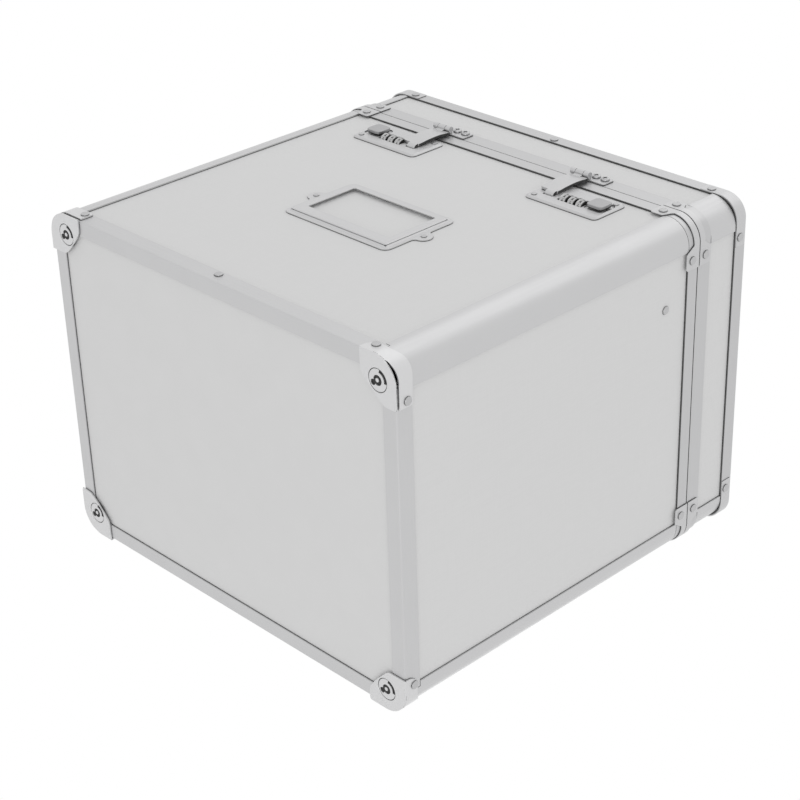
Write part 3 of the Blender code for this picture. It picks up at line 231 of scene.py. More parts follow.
def thickened(line: Sequence[Pair], sheet: float) -> list[Pair]:
    """The outline of a strip of sheet whose middle follows a line.

    Args:
        line: The strip's middle.
        sheet: Its thickness.

    Returns:
        The outline's points.
    """
    left, right = [], []
    for i, here in enumerate(line):
        along = (Vector(line[min(i + 1, len(line) - 1)]) - Vector(line[max(i - 1, 0)])).normalized()
        aside = Vector((-along.y, along.x)) * sheet / 2
        left.append(tuple(Vector(here) + aside))
        right.append(tuple(Vector(here) - aside))
    return left + right[::-1]


def runs(axis: Axis) -> Test:
    """A test for edges that run along an axis."""
    return lambda _, along: abs(along.dot(Vector(axis.value))) > ALIGNED


def lies_at(axis: Axis, level: float) -> Test:
    """A test for edges whose middle lies at a place along an axis."""
    return lambda middle, _: abs(middle.dot(Vector(axis.value)) - level) < NEAR


def level_at(height: float) -> Test:
    """A test for level edges at a height."""
    return lambda middle, along: abs(middle.z - height) < NEAR and abs(along.z) < ACROSS


def release() -> None:
    """Leaves edit mode and deselects everything."""
    if bpy.context.mode != "OBJECT":
        bpy.ops.object.mode_set(mode="OBJECT")
    bpy.ops.object.select_all(action="DESELECT")


class Work:
    """One mesh on the bench, shaped with the operators that a hand would use."""

    shift: ClassVar[Vector] = Vector()
    merge_reach: ClassVar[float] = 0.00001
    smooth_angle: ClassVar[float] = math.radians(38)

    def __init__(self, obj: bpy.types.Object) -> None:
        """Takes an object onto the bench."""
        self.obj = obj

    @classmethod
    def _started(cls) -> Work:
        """The primitive just added, with its place applied to its mesh."""
        bpy.ops.object.transform_apply(location=True, rotation=True, scale=True)
        return cls(bpy.context.active_object)

    @classmethod
    def block(cls, low: Point, high: Point) -> Work:
        """A block between its lowest and highest corners.

        Args:
            low: Its lowest corner.
            high: Its highest corner.

        Returns:
            The block.
        """
        release()
        start, end = Vector(low), Vector(high)
        bpy.ops.mesh.primitive_cube_add(size=1, location=(start + end) / 2, scale=end - start)
        return cls._started()

    @classmethod
    def slab(cls, middle: Pair, half: Pair, face: float, back: float) -> Work:
        """A block that faces the front.

        Args:
            middle: X and Z of its middle.
            half: Half its width and half its height.
            face: Y of its face.
            back: Y of its back.

        Returns:
            The block.
        """
        (x, z), (wide, tall) = middle, half
        return cls.block((x - wide, face, z - tall), (x + wide, back, z + tall))

    @classmethod
    def rod(cls, centre: Point, radius: float, length: float, axis: Axis = Axis.Z, sides: int = 32) -> Work:
        """A round bar about its middle.

        Args:
            centre: Its middle.
            radius: Its radius.
            length: Its length.
            axis: The direction that it lies along.
            sides: The number of its sides.

        Returns:
            The bar.
        """
        release()
        turn = Vector((0, 0, 1)).rotation_difference(Vector(axis.value)).to_euler()
        bpy.ops.mesh.primitive_cylinder_add(
            vertices=sides, radius=radius, depth=length, location=centre, rotation=turn
        )
        return cls._started()

    @classmethod
    def wire(cls, points: Sequence[Point]) -> Work:
        """A closed line, drawn vertex by vertex.

        Args:
            points: Its corners, in order.

        Returns:
            The line.
        """
        release()
        bpy.ops.mesh.primitive_plane_add(size=cls.merge_reach, location=points[0])
        work = cls._started()
        with work.editing():
            bpy.ops.mesh.merge(type="CENTER")
            for here, there in pairwise(points):
                bpy.ops.mesh.extrude_vertices_move(
                    TRANSFORM_OT_translate={"value": Vector(there) - Vector(here)}
                )
            ends = (Vector(points[0]), Vector(points[-1]))
            work.pick(Kind.VERT, lambda p, _: min((p - end).length for end in ends) < cls.merge_reach)
            bpy.ops.mesh.edge_face_add()
        return work

    @classmethod
    def plate(cls, points: Sequence[Point], push: Point) -> Work:
        """A sheet cut to an outline: the line is filled, and pushed to its thickness.

        Args:
            points: The outline.
            push: The way from this face to the other.

        Returns:
            The sheet.
        """
        work = cls.wire(points)
        with work.editing():
            bpy.ops.mesh.edge_face_add()
            bpy.ops.mesh.extrude_region_move(TRANSFORM_OT_translate={"value": Vector(push)})
        return work.tidied()

    def take(self) -> None:
        """Selects this mesh alone, and makes it the active one."""
        release()
        self.obj.select_set(True)
        bpy.context.view_layer.objects.active = self.obj

    @contextmanager
    def editing(self) -> Iterator[None]:
        """Edit mode on this mesh alone, with all of it selected."""
        self.take()
        bpy.ops.object.mode_set(mode="EDIT")
        bpy.ops.mesh.select_mode(type="VERT")
        bpy.ops.mesh.select_all(action="SELECT")
        yield
        bpy.ops.object.mode_set(mode="OBJECT")

    def pick(self, kind: Kind, test: Test) -> None:
        """Selects what passes a test, in edit mode.

        Args:
            kind: Vertices, edges or faces.
            test: Takes an element's middle, and its normal or an edge's direction.
        """
        bpy.ops.mesh.select_mode(type=kind.value)
        bpy.ops.mesh.select_all(action="DESELECT")
        bm = bmesh.from_edit_mesh(self.obj.data)
        if kind is Kind.VERT:
            found = [v for v in bm.verts if test(v.co, v.normal)]
        elif kind is Kind.EDGE:
            ends = ((e, e.verts[0].co, e.verts[1].co) for e in bm.edges)
            found = [e for e, a, b in ends if test((a + b) / 2, (b - a).normalized())]
        else:
            found = [f for f in bm.faces if test(f.calc_center_median(), f.normal)]
        for element in found:
            element.select_set(True)
        bm.select_flush_mode()
        bmesh.update_edit_mesh(self.obj.data)

    def tidied(self) -> Work:
        """Merges doubles and turns every face outwards.

        Returns:
            This piece.
        """
        with self.editing():
            bpy.ops.mesh.remove_doubles(threshold=self.merge_reach)
            bpy.ops.mesh.normals_make_consistent(inside=False)
        return self

    def travel(self, move: Point) -> None:
        """Draws the selected line on in a straight run, in edit mode."""
        bpy.ops.mesh.extrude_region_move(TRANSFORM_OT_translate={"value": Vector(move)})

    def turn_corner(self, centre: Point, angle: float, steps: int) -> None:
        """Draws the selected line on round an upright axis, in edit mode."""
        bpy.ops.mesh.spin(steps=steps, angle=math.radians(angle), center=centre, axis=(0, 0, -1))

    def bevel_where(self, test: Test, offset: float, segments: int = 4) -> Work:
        """Rounds the edges that pass a test of their middle and direction.

        Args:
            test: Takes an edge's middle and direction.
            offset: The bevel's width.
            segments: The number of its faces.

        Returns:
            This piece.
        """
        with self.editing():
            self.pick(Kind.EDGE, test)
            bpy.ops.mesh.bevel(offset=offset, segments=segments, affect="EDGES")
        return self

    def inset_where(self, test: Test, thickness: float, depth: float) -> Work:
        """Insets the faces that pass a test of their middle and normal, and lifts or sinks them.

        Args:
            test: Takes a face's middle and normal.
            thickness: How far in the new faces start.
            depth: How far they are lifted, or sunk where it is below zero.

        Returns:
            This piece.
        """
        with self.editing():
            self.pick(Kind.FACE, test)
            bpy.ops.mesh.inset(thickness=thickness, depth=depth)
        return self

    def scrap(self) -> None:
        """Throws the mesh away."""
        bpy.data.meshes.remove(self.obj.data)

    def _modify(self, kind: str, **settings: object) -> None:
        """Adds one modifier and applies it.

        Args:
            kind: The modifier's type.
            settings: Its properties.
        """
        self.take()
        bpy.ops.object.modifier_add(type=kind)
        modifier = self.obj.modifiers[-1]
        for key, value in settings.items():
            setattr(modifier, key, value)
        bpy.ops.object.modifier_apply(modifier=modifier.name)

    def cut(self, *tools: Work) -> Work:
        """Takes the tools' shapes out of this one, and throws the tools away."""
        return self._combine("DIFFERENCE", tools)

    def weld(self, *others: Work) -> Work:
        """Makes one solid of this piece and the others."""
        return self._combine("UNION", others)

    def _combine(self, operation: str, others: Sequence[Work]) -> Work:
        """Applies one Boolean for each of the others, and deletes them.

        Args:
            operation: The kind of Boolean.
            others: The pieces to combine this one with.

        Returns:
            This piece.
        """
        for other in others:
            self._modify("BOOLEAN", operation=operation, object=other.obj, solver="EXACT")
            other.scrap()
        return self

    def gathered(self, others: Sequence[Work]) -> Work:
        """Joins the others' meshes into this object as they are.

        Args:
            others: The pieces to join.

        Returns:
            This piece.
        """
        self.take()
        for other in others:
            other.obj.select_set(True)
        bpy.ops.object.join()
        return self

    def mirrored_halves(self, across_x: bool, across_y: bool) -> Work:
        """Completes a half or a quarter that starts at the middle of the box."""
        self._modify("MIRROR", use_axis=(across_x, across_y, False), merge_threshold=self.merge_reach)
        return self.tidied()

    def copy(self, scale: Point = (1, 1, 1), move: Point = (0, 0, 0), spin: Matrix | None = None) -> Work:
        """A copy with its own mesh.

        Args:
            scale: 1 or -1 along each axis, where the copy is a mirror image.
            move: How far it is moved afterwards.
            spin: A rotation about the origin, applied first.

        Returns:
            The copy, with its place in its mesh.
        """
        self.take()
        bpy.ops.object.duplicate()
        other = bpy.context.active_object
        placed = Matrix.LocRotScale(Vector(move), None, Vector(scale))
        other.matrix_world = placed @ (spin or Matrix()).to_4x4()
        work = self._started()
        return work.tidied() if math.prod(scale) < 0 else work

    def softened(self, width: float, segments: int = 2, angle: float = 40) -> Work:
        """Rounds every sharp edge a little.

        Args:
            width: The bevel's width.
            segments: The number of its faces.
            angle: The least angle between two faces, in degrees.

        Returns:
            This piece.
        """
        self.tidied()
        limit = {"limit_method": "ANGLE", "angle_limit": math.radians(angle)}
        self._modify("BEVEL", width=width, segments=segments, use_clamp_overlap=True, **limit)
        return self

    def dress(self, name: str, finish: Finish, body: Body | str, *nodes: str) -> Work:
        """Makes the piece part of the dressed box.

        Args:
            name: The piece's name.
            finish: Its finish.
            body: The body that it rides on.
            nodes: The CAD nodes that it stands for.

        Returns:
            This piece.
        """
        self.take()
        self.obj.name = name
        self.obj.location = self.shift
        bpy.ops.object.transform_apply(location=True, rotation=True, scale=True)
        bpy.ops.object.shade_smooth_by_angle(angle=self.smooth_angle)
        self._modify("WEIGHTED_NORMAL", keep_sharp=True, weight=50)
        self.obj.data.materials.clear()
        self.obj.data.materials.append(finish.material())
        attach(self.obj, body.value if isinstance(body, Body) else body)
        if nodes:
            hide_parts(*nodes)
        LOG.info("%s: %d faces on %s", name, len(self.obj.data.polygons), body)
        return self

    def to_corners(self, prefix: str, finish: Finish, body: Body, node: str = "") -> None:
        """Dresses mirrored copies of this front right piece at all four corners, and throws it away.

        Args:
            prefix: What the copies' names start with.
            finish: Their finish.
            body: The body that they ride on.
            node: What the names of the CAD nodes that they stand for start with, if there are any.
        """
        for sx in SIGNS:
            for sy in SIGNS:
                place = f"{END_NAMES[sy]}_{SIDE_NAMES[sx]}"
                nodes = [f"{node}_{place}"] if node else []
                self.copy(scale=(sx, -sy, 1)).dress(f"{prefix}_{place}", finish, body, *nodes)
        self.scrap()

    def paint_where(self, test: Test, finish: Finish) -> Work:
        """Gives the faces that pass a test a finish of their own.

        Args:
            test: Takes a face's middle and normal.
            finish: The finish of the faces that pass.

        Returns:
            This piece.
        """
        self.obj.data.materials.append(finish.material())
        with self.editing():
            self.pick(Kind.FACE, test)
            self.obj.active_material_index = len(self.obj.data.materials) - 1
            bpy.ops.object.material_slot_assign()
        return self


class Slot(Enum):
    """The record's material slots."""

    EDGING = "edging"
    PANEL = "panel"
    NICKEL = "nickel"
    DIAL = "dial"
    STEEL = "steel"
    GRIP = "grip"


class Recipe:
    """A material's node tree, built from a Principled shader outwards."""

    noise_range: ClassVar[Pair] = (0.3, 0.7)
    # How ambient occlusion maps to the painted crevice shade, and how many samples it takes.
    joint_range: ClassVar[Pair] = (0.4, 0.85)
    joint_samples: ClassVar[int] = 6

    def __init__(self, name: str, colour: Point, roughness: float, metallic: float) -> None:
        """Starts a material with its plain values on the shader's own sockets.

        Args:
            name: The material's name.
            colour: Its colour.
            roughness: Its roughness.
            metallic: 1 for bare metal, and 0 for paint or plastic.
        """
        self.material = bpy.data.materials.new(name)
        self.material.use_nodes = True
        self.tree = self.material.node_tree
        self.shader = self.tree.nodes["Principled BSDF"]
        plain = {"Base Color": (*colour, 1), "Roughness": roughness, "Metallic": metallic}
        for key, value in plain.items():
            self.shader.inputs[key].default_value = value
        self.place = self.node("ShaderNodeTexCoord").outputs["Object"]

    def node(
        self, kind: str, inputs: dict[str | int, object] | None = None, **settings: object
    ) -> bpy.types.Node:
        """Adds a node, sets its properties, and sets or links its inputs.

        Args:
            kind: The node's type.
            inputs: A value or a pattern for each socket.
            settings: The node's properties.

        Returns:
            The node.
        """
        made = self.tree.nodes.new(kind)
        for key, value in settings.items():
            setattr(made, key, value)
        for key, value in (inputs or {}).items():
            if isinstance(value, Socket):
                self.tree.links.new(value, made.inputs[key])
            else:
                made.inputs[key].default_value = value
        return made

    def stretched(self, scale: Point) -> Socket:
        """Object coordinates, scaled along each axis."""
        return self.node("ShaderNodeMapping", {"Vector": self.place, "Scale": scale}).outputs["Vector"]

    def noise(self, where: Socket, scale: float, detail: float = 2) -> Socket:
        """A cloudy pattern from 0 to 1."""
        inputs = {"Vector": where, "Scale": scale, "Detail": detail}
        return self.node("ShaderNodeTexNoise", inputs).outputs["Fac"]

    def mapped(self, source: Socket, span: Pair, low: float, high: float) -> Socket:
        """A pattern with one span of its values mapped onto another."""
        inputs = {"Value": source, "From Min": span[0], "From Max": span[1], "To Min": low, "To Max": high}
        return self.node("ShaderNodeMapRange", inputs).outputs["Result"]

    def tint(self, source: Socket, first: Point, second: Point) -> Socket:
        """A colour that runs from one to another with a pattern.

        Args:
            source: The pattern.
            first: The colour at its low end.
            second: The colour at its high end.

        Returns:
            The colour.
        """
        ramp = self.node("ShaderNodeValToRGB", {"Fac": source})
        for stop, place, colour in zip(ramp.color_ramp.elements, self.noise_range, (first, second)):
            stop.position, stop.color = place, (*colour, 1)
        return ramp.outputs["Color"]

    def feed(self, **sockets: Socket) -> None:
        """Links patterns to the shader's sockets, named with underscores for spaces."""
        for key, value in sockets.items():
            self.tree.links.new(value, self.shader.inputs[key.replace("_", " ")])

    def crevices(self, colour: Socket, reach: float, depth: float) -> Socket:
        """A colour that darkens towards joints and inside corners.

        Args:
            colour: The colour in the open.
            reach: How near another surface has to be.
            depth: How dark the painted shade in a closed joint gets, from 0 for no change to 1 for black.

        Returns:
            The colour with painted shade in joints and corners.
        """
        # Painted shade: ambient occlusion darkens the colour in joints, corners and gaps, where shade falls.
        shelter = self.node("ShaderNodeAmbientOcclusion", {"Distance": reach}, samples=self.joint_samples)
        shade = self.mapped(shelter.outputs["AO"], self.joint_range, 1 - depth, 1.0)
        scaled = self.node("ShaderNodeVectorMath", {0: colour, "Scale": shade}, operation="SCALE")
        return scaled.outputs["Vector"]

    def bump(self, height: Socket, distance: float) -> None:
        """Raises the surface by a pattern."""
        made = self.node("ShaderNodeBump", {"Height": height, "Distance": distance, "Strength": 1.0})
        self.feed(Normal=made.outputs["Normal"])


@dataclass(frozen=True)
class Finish:
    """A finish. Each kind adds its own grain."""

    name: str
    slot: Slot
    colour: tuple[float, float, float]
    roughness: float
    metallic: float
    contrast: float = 0.04
    # The reach and the depth of the painted shade in joints, corners and gaps.
    joint_reach: float = 0.0009
    joint_depth: float = 1.0
    gloss_range: ClassVar[Pair] = (0.85, 1.15)
    made: ClassVar[dict[str, bpy.types.Material]] = {}

    def shade(self, factor: float) -> tuple[float, float, float]:
        """The finish's colour, darker or lighter."""
        return tuple(min(1.0, c * factor) for c in self.colour)

    def vary(self, recipe: Recipe, tone: Socket, gloss: Socket) -> None:
        """Varies the colour with one pattern, and the roughness with another.

        Args:
            recipe: The material.
            tone: The colour's pattern.
            gloss: The roughness's pattern.
        """
        low, high = (self.roughness * share for share in self.gloss_range)
        recipe.feed(
            Base_Color=recipe.tint(tone, self.shade(1 - self.contrast), self.shade(1 + self.contrast)),
            Roughness=recipe.mapped(gloss, recipe.noise_range, low, high),
        )

    def material(self) -> bpy.types.Material:
        """The material, made the first time it is asked for.

        Returns:
            The material.
        """
        if self.name not in self.made:
            recipe = Recipe(self.name, self.colour, self.roughness, self.metallic)
            self.grain(recipe)
            # Every finish gets painted crevice shade on top of its grain.
            colour = recipe.shader.inputs["Base Color"].links[0].from_socket
            recipe.feed(Base_Color=recipe.crevices(colour, self.joint_reach, self.joint_depth))
            self.made[self.name] = recipe.material
        return self.made[self.name]

    def grain(self, recipe: Recipe) -> None:
        """Adds the patterns of one kind of finish."""
        raise NotImplementedError


@dataclass(frozen=True)
class AnodisedFinish(Finish):
    """Satin anodised aluminium: extrusion lines along the piece, and a fine matt tooth."""

    lines: tuple[float, float, float] = (1, 1, 1)
    gloss_range: ClassVar[Pair] = (0.85, 1.2)
    line_scale: ClassVar[float] = 700
    cloud_scale: ClassVar[float] = 25
    relief: ClassVar[float] = 0.00002

    def grain(self, recipe: Recipe) -> None:
        """Adds drawn lines, clouds and a tooth.

        Args:
            recipe: The material.
        """
        drawn = recipe.noise(recipe.stretched(self.lines), self.line_scale)
        clouds = recipe.noise(recipe.place, self.cloud_scale, 3)
        both = recipe.node("ShaderNodeMath", {0: drawn, 1: clouds}, operation="ADD").outputs["Value"]
        half = recipe.node("ShaderNodeMath", {0: both, 1: 0.5}, operation="MULTIPLY").outputs["Value"]
        self.vary(recipe, half, drawn)
        recipe.bump(drawn, self.relief)


@dataclass(frozen=True)
class LaminateFinish(Finish):
    """A laminated panel with a very fine woven look, the upright threads stronger."""

    upright: tuple[float, float, float] = (1, 1, 0.03)
    crosswise: tuple[float, float, float] = (0.03, 0.03, 1)
    gloss_range: ClassVar[Pair] = (0.9, 1.1)
    thread_scale: ClassVar[float] = 1500
    crosswise_share: ClassVar[float] = 0.35
    relief: ClassVar[float] = 0.00004

    def grain(self, recipe: Recipe) -> None:
        """Adds two crossed sets of threads.

        Args:
            recipe: The material.
        """
        warp = recipe.noise(recipe.stretched(self.upright), self.thread_scale)
        weft = recipe.noise(recipe.stretched(self.crosswise), self.thread_scale)
        mixed = recipe.node("ShaderNodeMix", {"Factor": self.crosswise_share, 2: warp, 3: weft}).outputs[0]
        self.vary(recipe, mixed, warp)
        recipe.bump(mixed, self.relief)


@dataclass(frozen=True)
class PlatedFinish(Finish):
    """Nickel plate: nearly smooth, with faint wear and hairline scratches."""

    hair: tuple[float, float, float] = (1, 0.06, 1)
    gloss_range: ClassVar[Pair] = (0.8, 1.25)
    wear_scale: ClassVar[float] = 180
    hair_scale: ClassVar[float] = 1800
    relief: ClassVar[float] = 0.00001

    def grain(self, recipe: Recipe) -> None:
        """Adds wear clouds and hairlines.

        Args:
            recipe: The material.
        """
        wear = recipe.noise(recipe.place, self.wear_scale, 5)
        self.vary(recipe, wear, wear)
        recipe.bump(recipe.noise(recipe.stretched(self.hair), self.hair_scale), self.relief)


@dataclass(frozen=True)
class ZincFinish(Finish):
    """Zinc plated steel with a soft spangle. A contrast below zero makes the cells' middles the lighter."""

    spangle_scale: ClassVar[float] = 260
    tooth_scale: ClassVar[float] = 1400
    relief: ClassVar[float] = 0.00001

    def grain(self, recipe: Recipe) -> None:
        """Adds the spangle's cells.

        Args:
            recipe: The material.
        """
        inputs = {"Vector": recipe.place, "Scale": self.spangle_scale}
        cells = recipe.node("ShaderNodeTexVoronoi", inputs).outputs["Distance"]
        self.vary(recipe, cells, cells)
        recipe.bump(recipe.noise(recipe.place, self.tooth_scale), self.relief)


@dataclass(frozen=True)
class MouldedFinish(Finish):
    """Moulded plastic with a pebbled skin."""

    gloss_range: ClassVar[Pair] = (0.9, 1.1)
    pebble_scale: ClassVar[float] = 1300
    cloud_scale: ClassVar[float] = 90
    relief: ClassVar[float] = 0.00008

    def grain(self, recipe: Recipe) -> None:
        """Adds the pebbles.

        Args:
            recipe: The material.
        """
        inputs = {"Vector": recipe.place, "Scale": self.pebble_scale}
        cells = recipe.node("ShaderNodeTexVoronoi", inputs, feature="SMOOTH_F1").outputs["Distance"]
        self.vary(recipe, recipe.noise(recipe.place, self.cloud_scale, 3), cells)
        recipe.bump(cells, self.relief)


@dataclass(frozen=True)
class Finishes:
    """Every finish on the box."""

    # Where a finish gives two numbers after its contrast, they set the reach and depth of its painted crevice
    # shade.
    upright_edging: Finish = AnodisedFinish(
        "anodised_upright", Slot.EDGING, (0.56, 0.56, 0.565), 0.38, 0.75, 0.015, lines=(1, 1, 0.03)
    )
    level_edging: Finish = AnodisedFinish(
        "anodised_level", Slot.EDGING, (0.56, 0.56, 0.565), 0.42, 0.75, 0.015, lines=(0.05, 0.05, 1)
    )
    rim: Finish = AnodisedFinish(
        "anodised_rim", Slot.EDGING, (0.52, 0.52, 0.525), 0.36, 0.9, 0.015, lines=(0.05, 0.05, 1)
    )
    card_frame: Finish = AnodisedFinish(
        "anodised_card_frame", Slot.EDGING, (0.57, 0.57, 0.575), 0.40, 0.25, 0.015, 0.0006, lines=(0.05, 1, 1)
    )
    panel: Finish = LaminateFinish("laminate_panel", Slot.PANEL, (0.63, 0.63, 0.63), 0.55, 0.0, 0.02)
    nickel: Finish = PlatedFinish("nickel_plate", Slot.NICKEL, (0.66, 0.66, 0.665), 0.30, 0.85, 0.02)
    pressed: Finish = PlatedFinish(
        "pressed_metal", Slot.NICKEL, (0.64, 0.64, 0.645), 0.42, 0.7, 0.015, 0.0007, 0.8
    )
    satin: Finish = PlatedFinish("satin_metal", Slot.NICKEL, (0.55, 0.55, 0.555), 0.42, 0.7, 0.015)
    rivet: Finish = PlatedFinish("rivet_metal", Slot.NICKEL, (0.48, 0.48, 0.485), 0.28, 0.9, 0.02, 0.0013)
    # Near black, painted on the frames' downward faces as the shade under them.
    cut_end: Finish = MouldedFinish("cut_end", Slot.EDGING, (0.12, 0.12, 0.12), 0.5, 0.3, 0.1)
    # Near black, painted on the hasp arms' side edges as shade and dark reflection.
    sheared: Finish = MouldedFinish("sheared_edge", Slot.NICKEL, (0.035, 0.035, 0.035), 0.5, 0.2, 0.1)
    button: Finish = PlatedFinish("button_metal", Slot.NICKEL, (0.40, 0.40, 0.405), 0.40, 0.8, 0.03)
    polished: Finish = PlatedFinish("screw_metal", Slot.NICKEL, (0.45, 0.45, 0.455), 0.18, 1.0, 0.02)
    # Near black, painted on hidden and hollow parts where shade falls: the disc in each dimple, the latch
    # housings, the button skirts and the dial hubs.
    rubber: Finish = MouldedFinish("painted_black_shade", Slot.GRIP, (0.02, 0.02, 0.02), 0.7, 0.0, 0.1)
    dial: Finish = PlatedFinish("dial_metal", Slot.DIAL, (0.50, 0.50, 0.50), 0.35, 0.6, 0.03)
    ink: Finish = MouldedFinish("digit_ink", Slot.DIAL, (0.03, 0.03, 0.03), 0.6, 0.0, 0.1)
    steel: Finish = ZincFinish("zinc_steel", Slot.STEEL, (0.50, 0.50, 0.51), 0.38, 0.85, -0.05)
    grip: Finish = MouldedFinish("grip_plastic", Slot.GRIP, (0.045, 0.045, 0.047), 0.55, 0.0, 0.12)


@dataclass(frozen=True)
class Lamp:
    """One soft lamp aimed at the middle of the box."""

    name: str
    direction: tuple[float, float, float]
    distance: float
    size: float
    energy: float


@dataclass
class Studio:
    """The camera, the light and the floor."""

    lens: float = 88.49
    sensor: float = 36.0
    camera_place: tuple[float, float, float] = (0.9328865, -0.6667955, -0.7134085)
    right: tuple[float, float, float] = (0.6976321, 0.02774635, 0.7159187)
    down: tuple[float, float, float] = (0.32284267, 0.87987666, -0.3486971)
    forward: tuple[float, float, float] = (-0.63959523, 0.4743914, 0.6048725)
    clip: Pair = (0.05, 50)
    world_light: float = 0.88
    floor_size: float = 12.0
    floor_colour: tuple[float, float, float] = (0.86, 0.86, 0.86)
    floor_mottle: float = 0.995
    aim: tuple[float, float, float] = (0, 0, 0.17)
    lamps: tuple[Lamp, ...] = (
        Lamp("overhead_softbox", (-0.06, -0.74, 0.64), 2.6, 2.6, 9.0),
        Lamp("side_fill", (0.70, -0.10, -0.70), 3.0, 1.6, 10),
        Lamp("back_fill", (-0.45, 0.80, 0.40), 3.0, 1.8, 6),
    )

    def build(self) -> None:
        """Sets up everything round the object."""
        self._camera()
        self._world()
        for lamp in self.lamps:
            self._lamp(lamp)
        self._floor()
        bpy.context.scene.view_settings.view_transform = "Standard"
        LOG.info("studio: %d lamps", len(self.lamps))

    def _camera(self) -> None:
        """Stands the camera where the photograph was taken from."""
        release()
        bpy.ops.object.camera_add()
        camera = bpy.context.active_object
        camera.name = "photo_camera"
        camera.data.lens, camera.data.sensor_width = self.lens, self.sensor
        camera.data.clip_start, camera.data.clip_end = self.clip
        rows = Matrix((self.right, -Vector(self.down), -Vector(self.forward)))
        place = Matrix.Translation(Vector(self.camera_place) + Work.shift)
        camera.matrix_world = place @ rows.transposed().to_4x4()
        bpy.context.scene.camera = camera

    def _world(self) -> None:
        """A white backdrop for the camera and reflections, and a plain level of light."""
        world = bpy.data.worlds.new("studio_world")
        bpy.context.scene.world = world
        world.use_nodes = True
        tree = world.node_tree
        backdrop = tree.nodes["Background"]
        backdrop.inputs["Color"].default_value = (1, 1, 1, 1)
        light = tree.nodes.new("ShaderNodeBackground")
        light.inputs["Color"].default_value = (1, 1, 1, 1)
        light.inputs["Strength"].default_value = self.world_light
        path = tree.nodes.new("ShaderNodeLightPath")
        seen = path.outputs["Is Camera Ray"]
        for name in ("Is Glossy Ray", "Is Transmission Ray"):
            either = tree.nodes.new("ShaderNodeMath")
            either.operation = "MAXIMUM"
            tree.links.new(seen, either.inputs[0])
            tree.links.new(path.outputs[name], either.inputs[1])
            seen = either.outputs["Value"]
        mix = tree.nodes.new("ShaderNodeMixShader")
        tree.links.new(seen, mix.inputs["Fac"])
        tree.links.new(light.outputs["Background"], mix.inputs[1])
        tree.links.new(backdrop.outputs["Background"], mix.inputs[2])
        tree.links.new(mix.outputs["Shader"], tree.nodes["World Output"].inputs["Surface"])

    def _lamp(self, lamp: Lamp) -> None:
        """Hangs one square softbox.

        Args:
            lamp: The lamp to hang.
        """
        release()
        toward = Vector(lamp.direction).normalized()
        bpy.ops.object.light_add(type="AREA", location=Vector(self.aim) + toward * lamp.distance)
        made = bpy.context.active_object
        made.name = lamp.name
        made.rotation_euler = (-toward).to_track_quat("-Z", "Y").to_euler()
        made.data.size, made.data.energy = lamp.size, lamp.energy

    def _floor(self) -> None:
        """A pale floor that keeps the shadow, and is clear when seen from below."""
        release()
        bpy.ops.mesh.primitive_plane_add(size=self.floor_size)
        floor = bpy.context.active_object
        floor.name = "studio_floor"
        recipe = Recipe("floor_paper", self.floor_colour, 0.9, 0.0)
        clouds = recipe.noise(recipe.place, 3)
        shaded = [c * self.floor_mottle for c in self.floor_colour]
        recipe.feed(Base_Color=recipe.tint(clouds, shaded, self.floor_colour))
        clear = recipe.node("ShaderNodeBsdfTransparent")
        side = recipe.node("ShaderNodeNewGeometry").outputs["Backfacing"]
        mix = recipe.node(
            "ShaderNodeMixShader", {"Fac": side, 1: recipe.shader.outputs["BSDF"], 2: clear.outputs["BSDF"]}
        )
        recipe.tree.links.new(mix.outputs["Shader"], recipe.tree.nodes["Material Output"].inputs["Surface"])
        floor.data.materials.append(recipe.material)
        for ray in ("diffuse", "glossy", "transmission", "shadow"):
            setattr(floor, f"visible_{ray}", False)


@dataclass
class CarriedNodes:
    """CAD nodes whose shape is right, which only take a better material."""

    finishes: Finishes

    def dress(self, nodes: dict[str, bpy.types.Object]) -> None:
        """Gives each node the finish that its name calls for.

        Args:
            nodes: The CAD nodes, by their names.
        """
        kinds = (
            ("_panel", self.finishes.panel),
            ("file_rail", self.finishes.steel),
            ("stay_", self.finishes.steel),
            ("hinge_pin", self.finishes.steel),
            ("hinge_", self.finishes.level_edging),
            ("handle_bail", self.finishes.grip),
            ("handle_bracket", self.finishes.nickel),
            ("hasp", self.finishes.nickel),
            ("lock_", self.finishes.nickel),
            ("release_", self.finishes.nickel),
            ("dial", self.finishes.dial),
            ("corner_", self.finishes.upright_edging),
            ("", self.finishes.level_edging),
        )
        for name, node in nodes.items():
            finish = next(found for key, found in kinds if key in name)
            for slot in node.material_slots:
                slot.material = finish.material()
            if not node.material_slots:
                node.data.materials.append(finish.material())
        LOG.info("carried nodes: %d", len(nodes))


@dataclass
class RivetHead:
    """A low domed rivet, modelled once and copied to each place."""

    radius: float = 0.003
    height: float = 0.0011
    seat: float = 0.0002
    shoulder_share: float = 0.5
    sides: int = 28
    pattern: Work | None = field(default=None, init=False)

    def model(self) -> None:
        """Turns a short rod into a rivet head that points along +Z from the origin."""
        centre = (0, 0, (self.height - self.seat) / 2)
        head = Work.rod(centre, self.radius, self.height + self.seat, sides=self.sides)
        head.bevel_where(lies_at(Axis.Z, self.height), self.height * self.shoulder_share, 5)
        self.pattern = head.tidied()

    def at(self, place: Point, outward: Point) -> Work:
        """A copy that stands on a face.

        Args:
            place: The foot of the rivet's axis.
            outward: The face's normal.

        Returns:
            The copy.
        """
        if self.pattern is None:
            self.model()
        spin = Vector((0, 0, 1)).rotation_difference(Vector(outward)).to_matrix()
        return self.pattern.copy(move=place, spin=spin)

    def clear(self) -> None:
        """Throws the pattern away."""
        if self.pattern is not None:
            self.pattern.scrap()
            self.pattern = None


